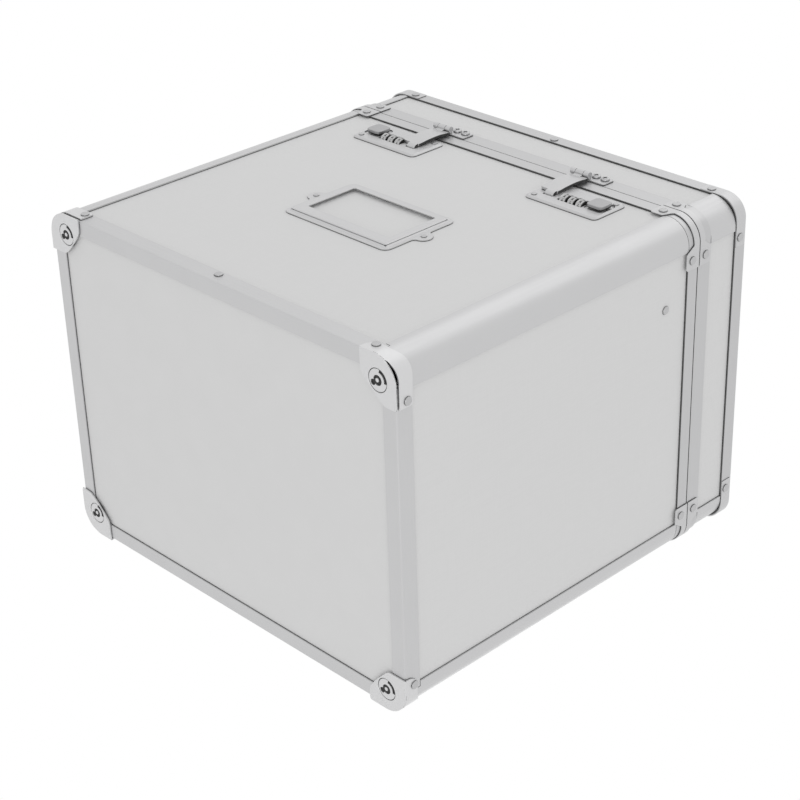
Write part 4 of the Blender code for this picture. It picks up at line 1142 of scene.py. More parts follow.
@dataclass
class CornerEdging:
    """The four upright extrusions of the case or of the lid: a round skin with a groove for each panel."""

    box: Box
    finishes: Finishes
    body: Body
    radius: float
    side_flange: float
    low: float
    high: float
    front_flange: float = 0.0218
    lip: float = 0.022
    skin: float = 0.0015
    web: float = 0.0015
    steps: int = 16
    edge_softness: float = 0.00035

    def section(self) -> list[Pair]:
        """The extrusion's outline at the front right corner, as insets.

        Returns:
            The outline's points.
        """
        box, radius = self.box, self.radius
        outer = arc((radius, radius), radius, -90, -180, self.steps)
        start = math.degrees(math.asin(self.web / (radius - self.skin)))
        inner = arc((radius, radius), radius - self.skin, 180 + start, 270 - start, self.steps)
        reach = max(self.lip, self.side_flange)
        side = [(0, self.side_flange), (box.edge_wall, self.side_flange), (box.edge_wall, radius)]
        side += [(box.groove_back, radius), (box.groove_back, reach), (box.edge_back, reach)]
        side += [(box.edge_back, radius - self.web)]
        facing = [(radius - self.web, box.edge_back), (reach, box.edge_back), (reach, box.groove_back)]
        facing += [(radius, box.groove_back), (radius, box.edge_wall), (self.front_flange, box.edge_wall)]
        return [*outer, *side, *inner, *facing, (self.front_flange, 0)]

    def build(self) -> None:
        """Models the front right corner, then mirrors it to the other three."""
        points = [(*self.box.corner(a, b), self.low) for a, b in self.section()]
        corner = Work.plate(points, (0, 0, self.high - self.low))
        if self.body is Body.CASE:
            corner.cut(*self._clearances())
        corner.softened(self.edge_softness)
        name = self.body.value
        corner.to_corners(f"{name}_edging", self.finishes.upright_edging, self.body, f"{name}_corner")

    def _clearances(self) -> Iterator[Work]:
        """Blocks that shorten the two flanges where the base angles pass.

        Yields:
            The blocks.
        """
        box = self.box
        deep, over = box.edge_wall + box.gap / 2, box.base_flange
        top = box.base_flange + box.gap
        x0, y0 = box.corner(self.front_flange + over, -over)
        x1, y1 = box.corner(self.radius, deep)
        yield Work.block((x0, y0, -over), (x1, y1, top))
        x0, y0 = box.corner(deep, self.radius)
        x1, y1 = box.corner(-over, self.side_flange + over)
        yield Work.block((x0, y0, -over), (x1, y1, top))


@dataclass
class BaseAngles:
    """Four aluminium angles round the underside, cut away where the foot caps are dimpled."""

    box: Box
    finishes: Finishes
    edge_radius: float = 0.0015
    under_flange: float = 0.0120
    dimple_inset: Pair = (0.0145, 0.0165)
    dimple_room: float = 0.0098
    edge_softness: float = 0.0003

    def build(self) -> None:
        """Draws the angle's section at one end and pushes it along the box."""
        box = self.box
        long_half = box.half_width - box.case_radius - box.gap
        short_half = box.half_depth - box.case_radius - box.gap
        wall, flange = box.edge_wall, box.base_flange
        radius = self.edge_radius
        section = arc((radius, radius), radius, 180, 270, 5)
        section += [(self.under_flange, 0), (self.under_flange, wall), (wall, wall)]
        section += [(wall, flange), (0, flange)]
        along_x = [(-long_half, inset - box.half_depth, z) for inset, z in section]
        along_y = [(box.half_width - inset, -short_half, z) for inset, z in section]
        front = Work.plate(along_x, (2 * long_half, 0, 0))
        right = Work.plate(along_y, (0, 2 * short_half, 0))
        for angle, signs in ((front, [(1, -1), (1, 1)]), (right, [(-1, 1), (1, 1)])):
            angle.cut(*self._rooms(angle is front))
            angle.softened(self.edge_softness)
            for sx, sy in signs:
                name = END_NAMES[sy] if angle is front else SIDE_NAMES[sx]
                scale = (1, -sy, 1) if angle is front else (sx, 1, 1)
                angle.copy(scale=scale).dress(
                    f"base_edge_{name}", self.finishes.level_edging, Body.CASE, f"base_angle_{name}"
                )
            angle.scrap()

    def _rooms(self, facing: bool) -> Iterator[Work]:
        """Rods that clear the two dimples at one angle's ends.

        Args:
            facing: Whether the angle is the front one.

        Yields:
            The rods.
        """
        inset_x, inset_y = self.dimple_inset
        x, y = self.box.corner(inset_x, inset_y)
        for sign in SIGNS:
            place = (sign * x, y, 0) if facing else (x, sign * y, 0)
            yield Work.rod(place, self.dimple_room, 2 * self.box.panel_inset, sides=40)


@dataclass
class RimFrames:
    """The three frames that run round the box: two rims at the seam, and the lid's top frame."""

    box: Box
    finishes: Finishes
    case_rim_height: float = 0.0108
    lid_rim_height: float = 0.0132
    inner_height: float = 0.011
    top_height: float = 0.0115
    top_flange: float = 0.0135
    top_edge: float = 0.0009
    seam_softness: float = 0.0009
    cut_slope: float = 0.6
    steps: int = 16
    edge_softness: float = 0.0003

    def _sweep(self, section: Sequence[Pair], radius: float) -> Work:
        """Takes a section round a quarter of the box, and mirrors it twice.

        Args:
            section: The frame's section, as insets and heights.
            radius: The radius round the corners.

        Returns:
            The frame.
        """
        box = self.box
        frame = Work.wire([(0, inset - box.half_depth, z) for inset, z in section])
        centre = (box.half_width - radius, radius - box.half_depth, 0)
        with frame.editing():
            frame.travel((centre[0], 0, 0))
            frame.turn_corner(centre, 90, self.steps)
            frame.travel((0, -centre[1], 0))
        return frame.mirrored_halves(True, True)

    def _at_seam(self, edge: float, radius: float, middle: Vector, along: Vector) -> bool:
        """Whether a frame's edge borders the seam, on the sides and round the corners.

        Args:
            edge: The height of the frame's edge at the seam.
            radius: The radius round the corners.
            middle: The middle of the edge that is tested.
            along: Its direction.

        Returns:
            Whether it does.
        """
        box = self.box
        x_out, y_out = abs(middle.x) - box.half_width, abs(middle.y) - box.half_depth
        spoke = Vector((x_out + radius, y_out + radius))
        outside = abs(x_out) < box.gap if spoke.y < 0 else spoke.length > radius - box.gap
        return level_at(edge)(middle, along) and spoke.x > 0 and outside

    def build(self) -> None:
        """Models and dresses the three frames."""
        box, wall = self.box, self.box.edge_wall
        back, groove = box.edge_back, box.groove_back
        seam, lid_low, inner = box.seam, box.seam + box.gap, self.inner_height
        base, lid_top = seam - self.case_rim_height, lid_low + self.lid_rim_height
        case = [(0, base), (0, seam), (back, seam), (back, seam - inner), (groove, seam - inner)]
        case += [(groove, seam - wall), (wall, seam - wall), (wall, base)]
        lid = [(0, lid_low), (0, lid_top), (wall, lid_top), (wall, lid_low + wall), (groove, lid_low + wall)]
        lid += [(groove, lid_low + inner), (back, lid_low + inner), (back, lid_low)]
        top, low, edge = box.height, box.height - self.top_height, self.top_edge
        crown = [(0, low), *arc((edge, top - edge), edge, 180, 90, 4), (self.top_flange, top)]
        crown += [(self.top_flange, top - wall), (wall, top - wall), (wall, low)]
        pieces = (
            ("case_rim_frame", case, box.case_radius, Body.CASE, "case_rim"),
            ("lid_rim_frame", lid, box.case_radius, Body.LID, "lid_rim"),
            ("lid_crown_frame", crown, box.frame_radius, Body.LID, "lid_top_frame"),
        )
        for name, section, radius, body, node in pieces:
            frame = self._sweep(section, radius)
            edge = max(z for _, z in section) if body is Body.CASE else min(z for _, z in section)
            if radius == box.case_radius:
                frame.bevel_where(partial(self._at_seam, edge, radius), self.seam_softness, 2)
            frame.softened(self.edge_softness).dress(name, self.finishes.rim, body, node)
            # Downward faces get a near black finish: painted shade under the frames.
            frame.paint_where(lambda _, n: n.z < -self.cut_slope, self.finishes.cut_end)


@dataclass
class CornerStrap:
    """Sheet bent round the front right corner. The clips, caps and foot walls all start as one."""

    box: Box
    radius: float
    offset: float
    sheet: float
    reach_x: float
    reach_y: float
    low: float
    high: float
    steps: int = 16

    @property
    def ends(self) -> Pair:
        """X where the strap starts on the front, and Y where it ends on the side."""
        return self.box.corner(self.reach_x, self.reach_y)

    def model(self) -> Work:
        """Draws the strap's cross section at the front end, and takes it round the corner.

        Returns:
            The strap.
        """
        box = self.box
        near, far = box.front(self.offset), box.front(self.offset + self.sheet)
        start = box.half_width - self.reach_x
        centre = (box.half_width - self.radius, self.radius - box.half_depth, 0)
        corners = ((near, self.low), (far, self.low), (far, self.high), (near, self.high))
        strap = Work.wire([(start, y, z) for y, z in corners])
        with strap.editing():
            bpy.ops.mesh.edge_face_add()
            strap.travel((centre[0] - start, 0, 0))
            strap.turn_corner(centre, 90, self.steps)
            strap.travel((0, self.reach_y - self.radius, 0))
        return strap.tidied()

    def tipped(self, strap: Work, levels: Sequence[float], offset: float, segments: int) -> None:
        """Rounds corners of the strap's two ends.

        Args:
            strap: The strap, as modelled.
            levels: The heights of the corners.
            offset: How far the rounding reaches.
            segments: The number of its faces.
        """
        (x_end, y_end), near = self.ends, self.box.gap

        def tip(middle: Vector, along: Vector) -> bool:
            """Whether an edge is one of these corners."""
            at_end = abs(middle.x - x_end) < near or abs(middle.y - y_end) < near
            return at_end and abs(along.z) < ACROSS and min(abs(middle.z - z) for z in levels) < near

        strap.bevel_where(tip, offset, segments)


@dataclass
class RimClips:
    """Riveted clips over the rims: a tab on each face, and a narrow neck round the corner."""

    box: Box
    finishes: Finishes
    sheet: float = 0.0008
    reach_x: float = 0.033
    reach_y: float = 0.0355
    tab_height: float = 0.0136
    lid_tab_height: float = 0.0120
    neck_height: float = 0.0055
    neck_run: float = 0.005
    tip_cut: float = 0.002
    curve_steps: int = 10
    edge_softness: float = 0.0002

    def _model(self, edge: float, direction: int) -> Work:
        """One clip, from the seam's edge up or down.

        Args:
            edge: The height of the clip's edge at the seam.
            direction: 1 for a clip on the lid, and -1 for one on the case.

        Returns:
            The clip.
        """
        box = self.box
        far = edge + (self.lid_tab_height if direction > 0 else -self.tab_height)
        low, high = sorted((edge, far))
        strap = CornerStrap(
            box, box.case_radius, box.gap, self.sheet, self.reach_x, self.reach_y, low, high
        )
        clip = strap.model()
        neck = edge + direction * self.neck_height
        over = far + direction * self.sheet
        depth = box.half_depth + 2 * self.sheet
        x_start, y_start = box.corner(box.case_radius + self.neck_run, box.case_radius + self.neck_run)
        x_curve, y_curve = box.corner(box.case_radius, box.case_radius)
        curve = [
            (x_start + (x_curve - x_start) * t, far + (neck - far) * (t * t * (3 - 2 * t)))
            for t in (i / self.curve_steps for i in range(self.curve_steps + 1))
        ]
        reach = box.half_width + 2 * self.sheet
        outline = [(x_start, over), *curve, (reach, neck), (reach, over)]
        front_tool = Work.plate([(x, -depth, z) for x, z in outline], (0, depth + y_curve, 0))
        outline = [(y_start, over), (y_start, far), (y_curve, neck), (-depth, neck), (-depth, over)]
        side_tool = Work.plate([(reach, y, z) for y, z in outline], (x_curve - reach, 0, 0))
        clip.cut(front_tool, side_tool)
        strap.tipped(clip, [far], self.tip_cut, 3)
        return clip.softened(self.edge_softness)

    def build(self) -> None:
        """Takes a clip to each corner of the case's rim and of the lid's."""
        seam, gap, finish = self.box.seam, self.box.gap, self.finishes.level_edging
        self._model(seam - gap, -1).to_corners("case_rim_clip", finish, Body.CASE, "case_clip")
        self._model(seam + 2 * gap, 1).to_corners("lid_rim_clip", finish, Body.LID)


@dataclass
class CrownCaps:
    """Thin caps riveted over the corners of the lid's top frame."""

    box: Box
    finishes: Finishes
    sheet: float = 0.0007
    seat: float = 0.0002
    reach_x: float = 0.033
    reach_y: float = 0.0355
    frame_height: float = 0.0115
    top_margin: float = 0.0015
    tip: float = 0.0012
    edge_softness: float = 0.00018

    def build(self) -> None:
        """Models one cap, and mirrors it to the other corners."""
        box = self.box
        low, high = box.height - self.frame_height, box.height - self.top_margin
        strap = CornerStrap(
            box, box.frame_radius, -self.seat, self.sheet + self.seat, self.reach_x, self.reach_y, low, high
        )
        cap = strap.model()
        strap.tipped(cap, (low, high), self.tip, 4)
        cap.softened(self.edge_softness)
        cap.to_corners("lid_crown_cap", self.finishes.level_edging, Body.LID)


@dataclass
class FootCaps:
    """Pressed caps on the four lower corners.

    All four are one pressing, turned a quarter from each to the next. Its places are insets from the two
    sides of the front right corner: the first from the side that the slit is on, and the second from the
    side that the sheet is folded along.
    """

    box: Box
    finishes: Finishes
    sheet: float = 0.001
    fold_reach: float = 0.0297
    slit_reach: float = 0.0332
    fold_bend: float = 0.0006
    tip_radius: float = 0.002
    slit_start: float = -62.0
    steps: int = 16
    rim: tuple[Pair, ...] = (
        *((0.0060, 0.0332), (0.0092, 0.0327), (0.0122, 0.0308), (0.0156, 0.0283), (0.0212, 0.0234)),
        *((0.0248, 0.0200), (0.0277, 0.0168), (0.0292, 0.0145), (0.0297, 0.0115)),
    )
    fold_top: tuple[Pair, ...] = (
        *((0.0297, 0.0010), (0.0293, 0.0042), (0.0280, 0.0068), (0.0262, 0.0086), (0.0235, 0.0097)),
        *((0.0190, 0.0099), (0.0140, 0.0100), (0.0118, 0.0108), (0.0090, 0.0121), (0.0068, 0.0133)),
        (0.0044, 0.0142),
    )
    slit_top: tuple[Pair, ...] = (
        *((0.0044, 0.0142), (0.0076, 0.0145), (0.0113, 0.0141), (0.0150, 0.0133), (0.0180, 0.0130)),
    )
    slit_line: tuple[Pair, ...] = (
        *((0.0012, -0.0003), (0.0024, 0.0008), (0.0043, 0.0014), (0.0073, 0.0020), (0.0117, 0.0022)),
        *((0.0155, 0.0019), (0.0185, 0.0016), (0.0350, 0.0015)),
    )
    slit_end: tuple[Pair, ...] = ((0, 0.0016), (0.0005, 0.0004), (0.0017, 0))
    hole_inset: Pair = (0.0146, 0.0170)
    hole_radius: float = 0.0081
    hole_slope: float = 0.0007
    seat_radius: float = 0.0095
    seat_sheet: float = 0.0006
    boss_radius: float = 0.0079
    boss_dome: float = 0.7
    boss_top: float = -0.0011
    crescent: tuple[float, float, float, float] = (0.0057, 0.0083, -78, 5)
    recess_radius: float = 0.0036
    keyway_radius: float = 0.0021
    keyway_at: Pair = (-0.0040, 0.0024)
    pin_at: Pair = (-0.0003, 0.0)
    pin_radius: float = 0.0014
    fold_rivet: Pair = (0.0234, 0.0072)
    slit_rivet: Pair = (0.0290, 0.0085)
    edge_softness: float = 0.00018

    @property
    def outside(self) -> float:
        """How far the cap's outer faces lie off the edging."""
        return self.box.gap + self.sheet

    def _plate(self) -> Work:
        """The part that lies under the box.

        Returns:
            The plate.
        """
        box, out, radius = self.box, self.outside, self.box.case_radius
        outline = arc((radius, radius), radius + out, -90, -180, self.steps)
        outline += [(a - out, self.slit_reach - b) for a, b in self.slit_end]
        outline += [*flowing(self.rim, 3), (self.fold_reach, -out)]
        return Work.plate([(*box.corner(a, b), -out) for a, b in outline], (0, 0, self.sheet))

    def _wall(self) -> Work:
        """The part that stands up round the corner, cut to its outline and slit along its foot.

        Returns:
            The wall.
        """
        box, out, over = self.box, self.outside, 4 * self.outside
        top = max(z for _, z in self.slit_top) + self.sheet
        reaches = (self.fold_reach, self.slit_reach)
        strap = CornerStrap(box, box.case_radius, box.gap, self.sheet, *reaches, -out / 2, top, self.steps)
        wall = strap.model()
        x_split, y_split = box.corner(self.fold_top[-1][0], self.slit_top[0][0])
        x_far, y_far = box.half_width + over, strap.ends[1] + over
        above = [(box.corner(a, 0)[0], z) for a, z in flowing(self.fold_top, 3)]
        x_low = above[0][0] - over
        above = [(x_low, above[0][1]), *above, (above[-1][0], top + over), (x_low, top + over)]
        wall.cut(Work.plate([(x, y_split, z) for x, z in above], (0, -box.half_depth - over - y_split, 0)))
        level = [(box.corner(0, b)[1], z) for b, z in flowing(self.slit_top, 3)]
        slit = [(box.corner(0, b)[1], z) for b, z in flowing(self.slit_line, 3)]
        level += [(y_far, level[-1][1]), (y_far, top + over), (level[0][0], top + over)]
        slit += [(y_far, slit[-1][1]), (y_far, slit[0][1])]
        for outline in (level, slit):
            points = [(x_split - over, y, z) for y, z in outline]
            wall.cut(Work.plate(points, (x_far - x_split + over, 0, 0)))
        end, high, near = strap.ends[1], self.slit_top[-1][1], box.gap

        def tip(middle: Vector, along: Vector) -> bool:
            """Whether an edge is the upper corner of the slit side's end."""
            return abs(along.x) > ALIGNED and abs(middle.y - end) < near and abs(middle.z - high) < near

        return wall.bevel_where(tip, self.tip_radius, 4)

    def _shell(self) -> Work:
        """The plate and wall as one sheet, rounded along the fold, with the dimple's hole.

        Returns:
            The sheet.
        """
        box, out, near = self.box, self.outside, self.box.gap / 2
        shell = self._plate().weld(self._wall())
        centre = Vector(box.corner(box.case_radius, box.case_radius))
        limit, under = math.radians(self.slit_start), level_at(-out)

        def folded(middle: Vector, along: Vector) -> bool:
            """Whether an edge lies along the fold, on the front or on the arc up to the slit.

            Args:
                middle: The edge's middle.
                along: Its direction.

            Returns:
                Whether it does.
            """
            spoke = middle.xy - centre
            on_arc = spoke.x > 0 and abs(spoke.length - box.case_radius - out) < near
            straight = spoke.x < 0 and abs(middle.y - box.front(out)) < near
            before = math.atan2(spoke.y, spoke.x) < limit
            return under(middle, along) and (straight or (on_arc and before))

        def bordering(middle: Vector, along: Vector) -> bool:
            """Whether an edge borders the hole, below."""
            return under(middle, along) and abs((middle.xy - hole).length - self.hole_radius) < near

        shell.bevel_where(folded, self.fold_bend, 4)
        hole = Vector(box.corner(*self.hole_inset))
        shell.cut(Work.rod((*hole, -out), self.hole_radius, 2 * self.sheet + out, sides=48))
        shell.bevel_where(bordering, self.hole_slope, 3)
        return shell.softened(self.edge_softness)

    def _boss(self) -> Work:
        """The domed head in the dimple, with a bore, a keyway, a crescent slot, and a pin in its middle.

        Returns:
            The head, about the origin.
        """
        low, high = -self.box.gap + self.seat_sheet / 4, self.boss_top
        head = Work.rod((0, 0, (low + high) / 2), self.boss_radius, low - high, sides=40)
        head.bevel_where(lies_at(Axis.Z, high), (low - high) * self.boss_dome, 4)
        bore = Work.rod((0, 0, high), self.recess_radius, 2 * self.sheet, sides=32)
        keyway = Work.rod((*self.keyway_at, high), self.keyway_radius, 2 * self.sheet, sides=20)
        inner, outer, start, end = self.crescent
        outline = arc((0, 0), outer, start, end, self.steps) + arc((0, 0), inner, end, start, self.steps)
        slot = Work.plate([(*point, high - self.sheet) for point in outline], (0, 0, 2 * self.sheet))
        head.cut(bore, keyway, slot)
        pin = Work.rod((*self.pin_at, (low + high) / 2), self.pin_radius, low - high, sides=24)
        return head.weld(pin).softened(self.edge_softness)

    def _turn(self, quarter: int) -> tuple[Matrix, Vector]:
        """The spin and the move that take the front right corner to another one.

        Args:
            quarter: The number of quarter turns, anticlockwise from above.

        Returns:
            The spin and the move.
        """
        centre = Vector((self.box.half_width, -self.box.half_depth, 0))
        spin = Matrix.Rotation(quarter * math.pi / 2, 3, "Z")
        signs = ((1, -1), (1, 1), (-1, 1), (-1, -1))[quarter]
        corner = Vector((signs[0] * self.box.half_width, signs[1] * self.box.half_depth, 0))
        return spin, corner - spin @ centre

    def _at(self, part: Work, quarter: int) -> Work:
        """A copy of a part at one corner, turned from the front right one by quarters."""
        spin, move = self._turn(quarter)
        return part.copy(move=move, spin=spin)

    def build(self) -> None:
        """Models one cap with its fittings, and copies it to each corner."""
        hole = Vector((*self.box.corner(*self.hole_inset), 0))
        middle = self.seat_sheet / 2 - self.box.gap
        shell = self._shell()
        # The disc under each dimple's hole is painted black as the shade inside the dimple.
        seat = Work.rod((hole.x, hole.y, middle), self.seat_radius, self.seat_sheet, sides=40)
        seat.softened(self.edge_softness)
        boss = self._boss()
        names = ("front_right", "back_right", "back_left", "front_left")
        for quarter, place in enumerate(names):
            node = f"foot_cap_{place}"
            self._at(shell, quarter).dress(f"foot_shell_{place}", self.finishes.pressed, Body.CASE, node)
            self._at(seat, quarter).dress(f"foot_seat_{place}", self.finishes.rubber, Body.CASE)
            spin, move = self._turn(quarter)
            boss.copy(move=spin @ hole + move).dress(f"foot_boss_{place}", self.finishes.pressed, Body.CASE)
        for part in (shell, seat, boss):
            part.scrap()

    def rivets(self) -> Seats:
        """Where the caps are riveted.

        Returns:
            Each rivet's place and outward direction.
        """
        box, out = self.box, self.outside
        (fold, fold_z), (slit, slit_z) = self.fold_rivet, self.slit_rivet
        pair = (
            (Vector((*box.corner(fold, -out), fold_z)), Vector((0, -1, 0))),
            (Vector((*box.corner(-out, slit), slit_z)), Vector((1, 0, 0))),
        )
        turns = [self._turn(quarter) for quarter in range(4)]
        return [(spin @ place + move, spin @ outward) for spin, move in turns for place, outward in pair]


@dataclass
class CardHolder:
    """A pressed card frame: flat foot, sloped shoulder, raised face with a window, and two riveted ears."""

    box: Box
    finishes: Finishes
    centre_x: float = 0.0005
    drop: float = 0.1475
    half_width: float = 0.052
    half_height: float = 0.034
    corner_radius: float = 0.0058
    sheet: float = 0.0007
    raise_height: float = 0.0026
    foot_width: float = 0.0026
    shoulder: float = 0.0026
    window_half_width: float = 0.041
    window_half_height: float = 0.0225
    window_rise: float = 0.0025
    window_radius: float = 0.0012
    ear_radius: float = 0.0068
    ear_offset: float = 0.00175
    ear_fillet: float = 0.0035
    edge_softness: float = 0.0002

    @property
    def foot(self) -> float:
        """Y of the frame's underside, just off the panel."""
        return self.box.front(self.box.gap - self.box.panel_inset)

    def build(self) -> None:
        """Presses the frame from a flat blank, opens its window, and adds the ears."""
        cx, cz = self.centre_x, self.box.seam - self.drop
        foot, blank = self.foot, self.foot - self.sheet
        raised = self.foot - self.raise_height
        frame = Work.slab((cx, cz), (self.half_width, self.half_height), blank, foot)
        frame.bevel_where(runs(Axis.Y), self.corner_radius, 8)
        frame.inset_where(lambda _, n: n.y < -ALIGNED, self.foot_width, 0)
        inner = self.half_width - self.foot_width
        frame.inset_where(
            lambda p, n: n.y < -ALIGNED and max(abs(p.x - cx), abs(p.z - cz)) < inner / 2,
            self.shoulder,
            blank - raised,
        )
        hollow_x = inner - self.shoulder / 2
        hollow_z = self.half_height - self.foot_width - self.shoulder / 2
        hollow = Work.slab((cx, cz), (hollow_x, hollow_z), raised + self.sheet, foot + self.sheet)
        half = (self.window_half_width, self.window_half_height)
        window = Work.slab((cx, cz + self.window_rise), half, raised - self.sheet, foot)
        window.bevel_where(runs(Axis.Y), self.window_radius, 5)
        frame.cut(hollow, window)
        ear = self._ear(cx, cz)
        frame.weld(ear.copy(), ear.copy(scale=(-1, 1, 1), move=(2 * cx, 0, 0)))
        ear.scrap()
        frame.softened(self.edge_softness, 3, 32)
        frame.dress("card_frame", self.finishes.card_frame, Body.CASE, "label_holder")

    def _ear(self, cx: float, cz: float) -> Work:
        """The right ear: a disc that flows into the frame's side through two fillets.

        Args:
            cx: X of the card frame's middle.
            cz: Z of its middle.

        Returns:
            The ear.
        """
        side = cx + self.half_width
        mid = side + self.ear_offset
        fillet = self.ear_fillet
        rise = math.sqrt((self.ear_radius + fillet) ** 2 - (fillet - self.ear_offset) ** 2)
        lean = math.degrees(math.atan2(rise, fillet - self.ear_offset))
        inside = side - self.foot_width
        outline = [(inside, -rise), *arc((side + fillet, -rise), fillet, 180, 180 - lean, 5)]
        outline += arc((mid, 0), self.ear_radius, -lean, lean, 16)[1:-1]
        outline += [*arc((side + fillet, rise), fillet, 180 + lean, 180, 5), (inside, rise)]
        return Work.plate([(u, self.foot, cz + v) for u, v in outline], (0, -self.sheet, 0))

    def rivets(self) -> Seats:
        """Where the ears are riveted.

        Returns:
            Each rivet's place and outward direction.
        """
        reach = self.half_width + self.ear_offset + self.sheet
        cz = self.box.seam - self.drop
        return [((self.centre_x + s * reach, self.foot - self.sheet, cz), (0, -1, 0)) for s in SIGNS]


@dataclass
class Latch:
    """A combination latch: face plate with its housing, three dials on an axle, and a release button."""

    box: Box
    finishes: Finishes
    inset: float = 0.0858
    drop: float = 0.0320
    half_width: float = 0.033
    half_height: float = 0.017
    corner_radius: float = 0.0038
    plate: float = 0.0018
    plate_bevel: float = 0.0012
    rivet_inset: float = 0.0052
    tongue_offset: float = -0.0195
    slot_half: float = 0.0047
    slot_drop: float = 0.0392
    dial_offset: float = 0.0016
    dial_drop: float = 0.0343
    dial_pitch: float = 0.0074
    dial_radius: float = 0.0062
    dial_width: float = 0.0050
    dial_proud: float = 0.0026
    dial_clearance: float = 0.0006
    facet_frame: float = 0.0005
    facet_sink: float = 0.00025
    band_bore: float = 0.0054
    axle_radius: float = 0.0015
    housing_wall: float = 0.001
    housing_space: float = 0.0014
    button_offset: float = 0.0218
    button_drop: float = 0.0310
    button_half_width: float = 0.0070
    button_half_height: float = 0.0068
    button_corner: float = 0.0026
    button_edge: float = 0.0005
    button_proud: float = 0.0038
    button_sheet: float = 0.0022
    button_travel: float = 0.005
    stem_half: float = 0.0022
    dish_depth: float = 0.0009
    dish_half_height: float = 0.0088
    dish_reach: Pair = (0.0088, 0.0092)
    dish_radius: float = 0.004
    digit_size: float = 0.0046
    digit_sheet: float = 0.00008
    facets: int = 10
    edge_softness: float = 0.0002

    @property
    def face(self) -> float:
        """Y of the plate's face."""
        return self.box.front(self.plate - self.box.panel_inset + self.box.gap)

    @property
    def back(self) -> float:
        """Y of the plate's back."""
        return self.box.front(self.box.gap - self.box.panel_inset)

    @property
    def middle(self) -> Pair:
        """X and Z of the right latch's middle."""
        return self.box.half_width - self.inset, self.box.seam - self.drop

    @property
    def button_middle(self) -> Pair:
        """X and Z of the right button's middle."""
        return self.middle[0] + self.button_offset, self.box.seam - self.button_drop

    @property
    def axis_y(self) -> float:
        """Y of the dials' axis."""
        return self.face - self.dial_proud + self.dial_radius

    def build(self) -> None:
        """Builds the right latch and its mirror image on the left."""
        finishes = self.finishes
        plate, housing, cap, skirt = self._plate(), self._housing(), self._cap(), self._skirt()
        band, core, digits = self._band(), self._core(), self._digits()
        x, _ = self.middle
        for sign in SIGNS:
            side, flip = SIDE_NAMES[sign], (sign, 1, 1)
            button = f"release_button_{side}"
            plate.copy(scale=flip).dress(
                f"latch_plate_{side}", finishes.satin, Body.CASE, f"lock_plate_{side}"
            )
            # The housing and the button's skirt take a painted black shade.
            housing.copy(scale=flip).dress(f"latch_housing_{side}", finishes.rubber, Body.CASE)
            cap.copy(scale=flip).dress(f"latch_button_{side}", finishes.button, button, button)
            skirt.copy(scale=flip).dress(f"latch_button_skirt_{side}", finishes.rubber, button)
            for number in (1, 2, 3):
                centre = sign * (x + self.dial_offset) + (number - 2) * self.dial_pitch
                place = (centre, self.axis_y, self.box.seam - self.dial_drop)
                node = f"dial_{side}_{number}"
                band.copy(move=place).dress(f"latch_wheel_{side}_{number}", finishes.dial, node, node)
                # Each hub takes a painted black shade between the wheels.
                core.copy(move=place).dress(f"latch_hub_{side}_{number}", finishes.rubber, node)
                digits.copy(move=place).dress(f"latch_digits_{side}_{number}", finishes.ink, node)
        for part in (plate, housing, cap, skirt, band, core, digits):
            part.scrap()

    @property
    def _room(self) -> tuple[Pair, Pair]:
        """The dials' room: X and Z of its middle, and half its width and height."""
        half_width = self.dial_pitch + self.dial_width / 2 + self.housing_space
        middle = self.middle[0] + self.dial_offset, self.box.seam - self.dial_drop
        return middle, (half_width, self.dial_radius + self.dial_clearance)

    def _plate(self) -> Work:
        """The face plate, with a dish round the button, a window for the dials and a slot for the hasp.

        Returns:
            The plate.
        """
        x, z = self.middle
        face, back, over = self.face, self.back, self.plate
        plate = Work.slab((x, z), (self.half_width, self.half_height), face, back)
        plate.bevel_where(runs(Axis.Y), self.corner_radius, 8)
        plate.bevel_where(lies_at(Axis.Y, face), self.plate_bevel, 1)
        dials, (room_x, _) = self._room
        window_z = math.sqrt(self.dial_radius**2 - (self.axis_y - back) ** 2) + self.box.gap
        window = Work.slab(dials, (room_x, window_z), face - over, back + over)
        window.bevel_where(runs(Axis.Y), self.dial_clearance, 4)
        tongue = x + self.tongue_offset
        button_x, button_z = self.button_middle
        dish = Work.block(
            (button_x - self.dish_reach[0], face - over, button_z - self.dish_half_height),
            (button_x + self.dish_reach[1], face + self.dish_depth, button_z + self.dish_half_height),
        )
        dish.bevel_where(runs(Axis.Y), self.dish_radius, 8)
        slot = Work.block(
            (tongue - self.slot_half, face - over, self.box.seam - self.slot_drop),
            (tongue + self.slot_half, back + over, z + self.half_height + over),
        )
        stem = self.stem_half + self.box.gap
        track = Work.block(
            (button_x - stem, face - over, button_z - stem),
            (button_x + stem + self.button_travel, back + over, button_z + stem),
        )
        return plate.cut(window, slot, dish, track).softened(self.edge_softness)

    def _housing(self) -> Work:
        """The box behind the window, painted black as the shade inside it, with the dials' axle.

        Returns:
            The housing.
        """
        (dial_x, dial_z), (room_x, room_z) = self._room
        back, wall = self.back, self.housing_wall
        floor = self.axis_y + self.dial_radius + self.dial_clearance
        housing = Work.slab((dial_x, dial_z), (room_x + wall, room_z + wall), back, floor + wall)
        housing.cut(Work.slab((dial_x, dial_z), (room_x, room_z), back - wall, floor))
        place = (dial_x, self.axis_y, dial_z)
        axle = Work.rod(place, self.axle_radius, 2 * room_x + wall, Axis.X, sides=24)
        return housing.weld(axle).softened(self.edge_softness / 2)

    def _pad(self, top: float, under: float, margin: float = 0) -> Work:
        """An eight-sided block, the button's outline between two depths.

        Args:
            top: Y of its face.
            under: Y of its back.
            margin: How much smaller it is all round.

        Returns:
            The block.
        """
        half = (self.button_half_width - margin, self.button_half_height - margin)
        pad = Work.slab(self.button_middle, half, top, under)
        return pad.bevel_where(runs(Axis.Y), self.button_corner, 2)

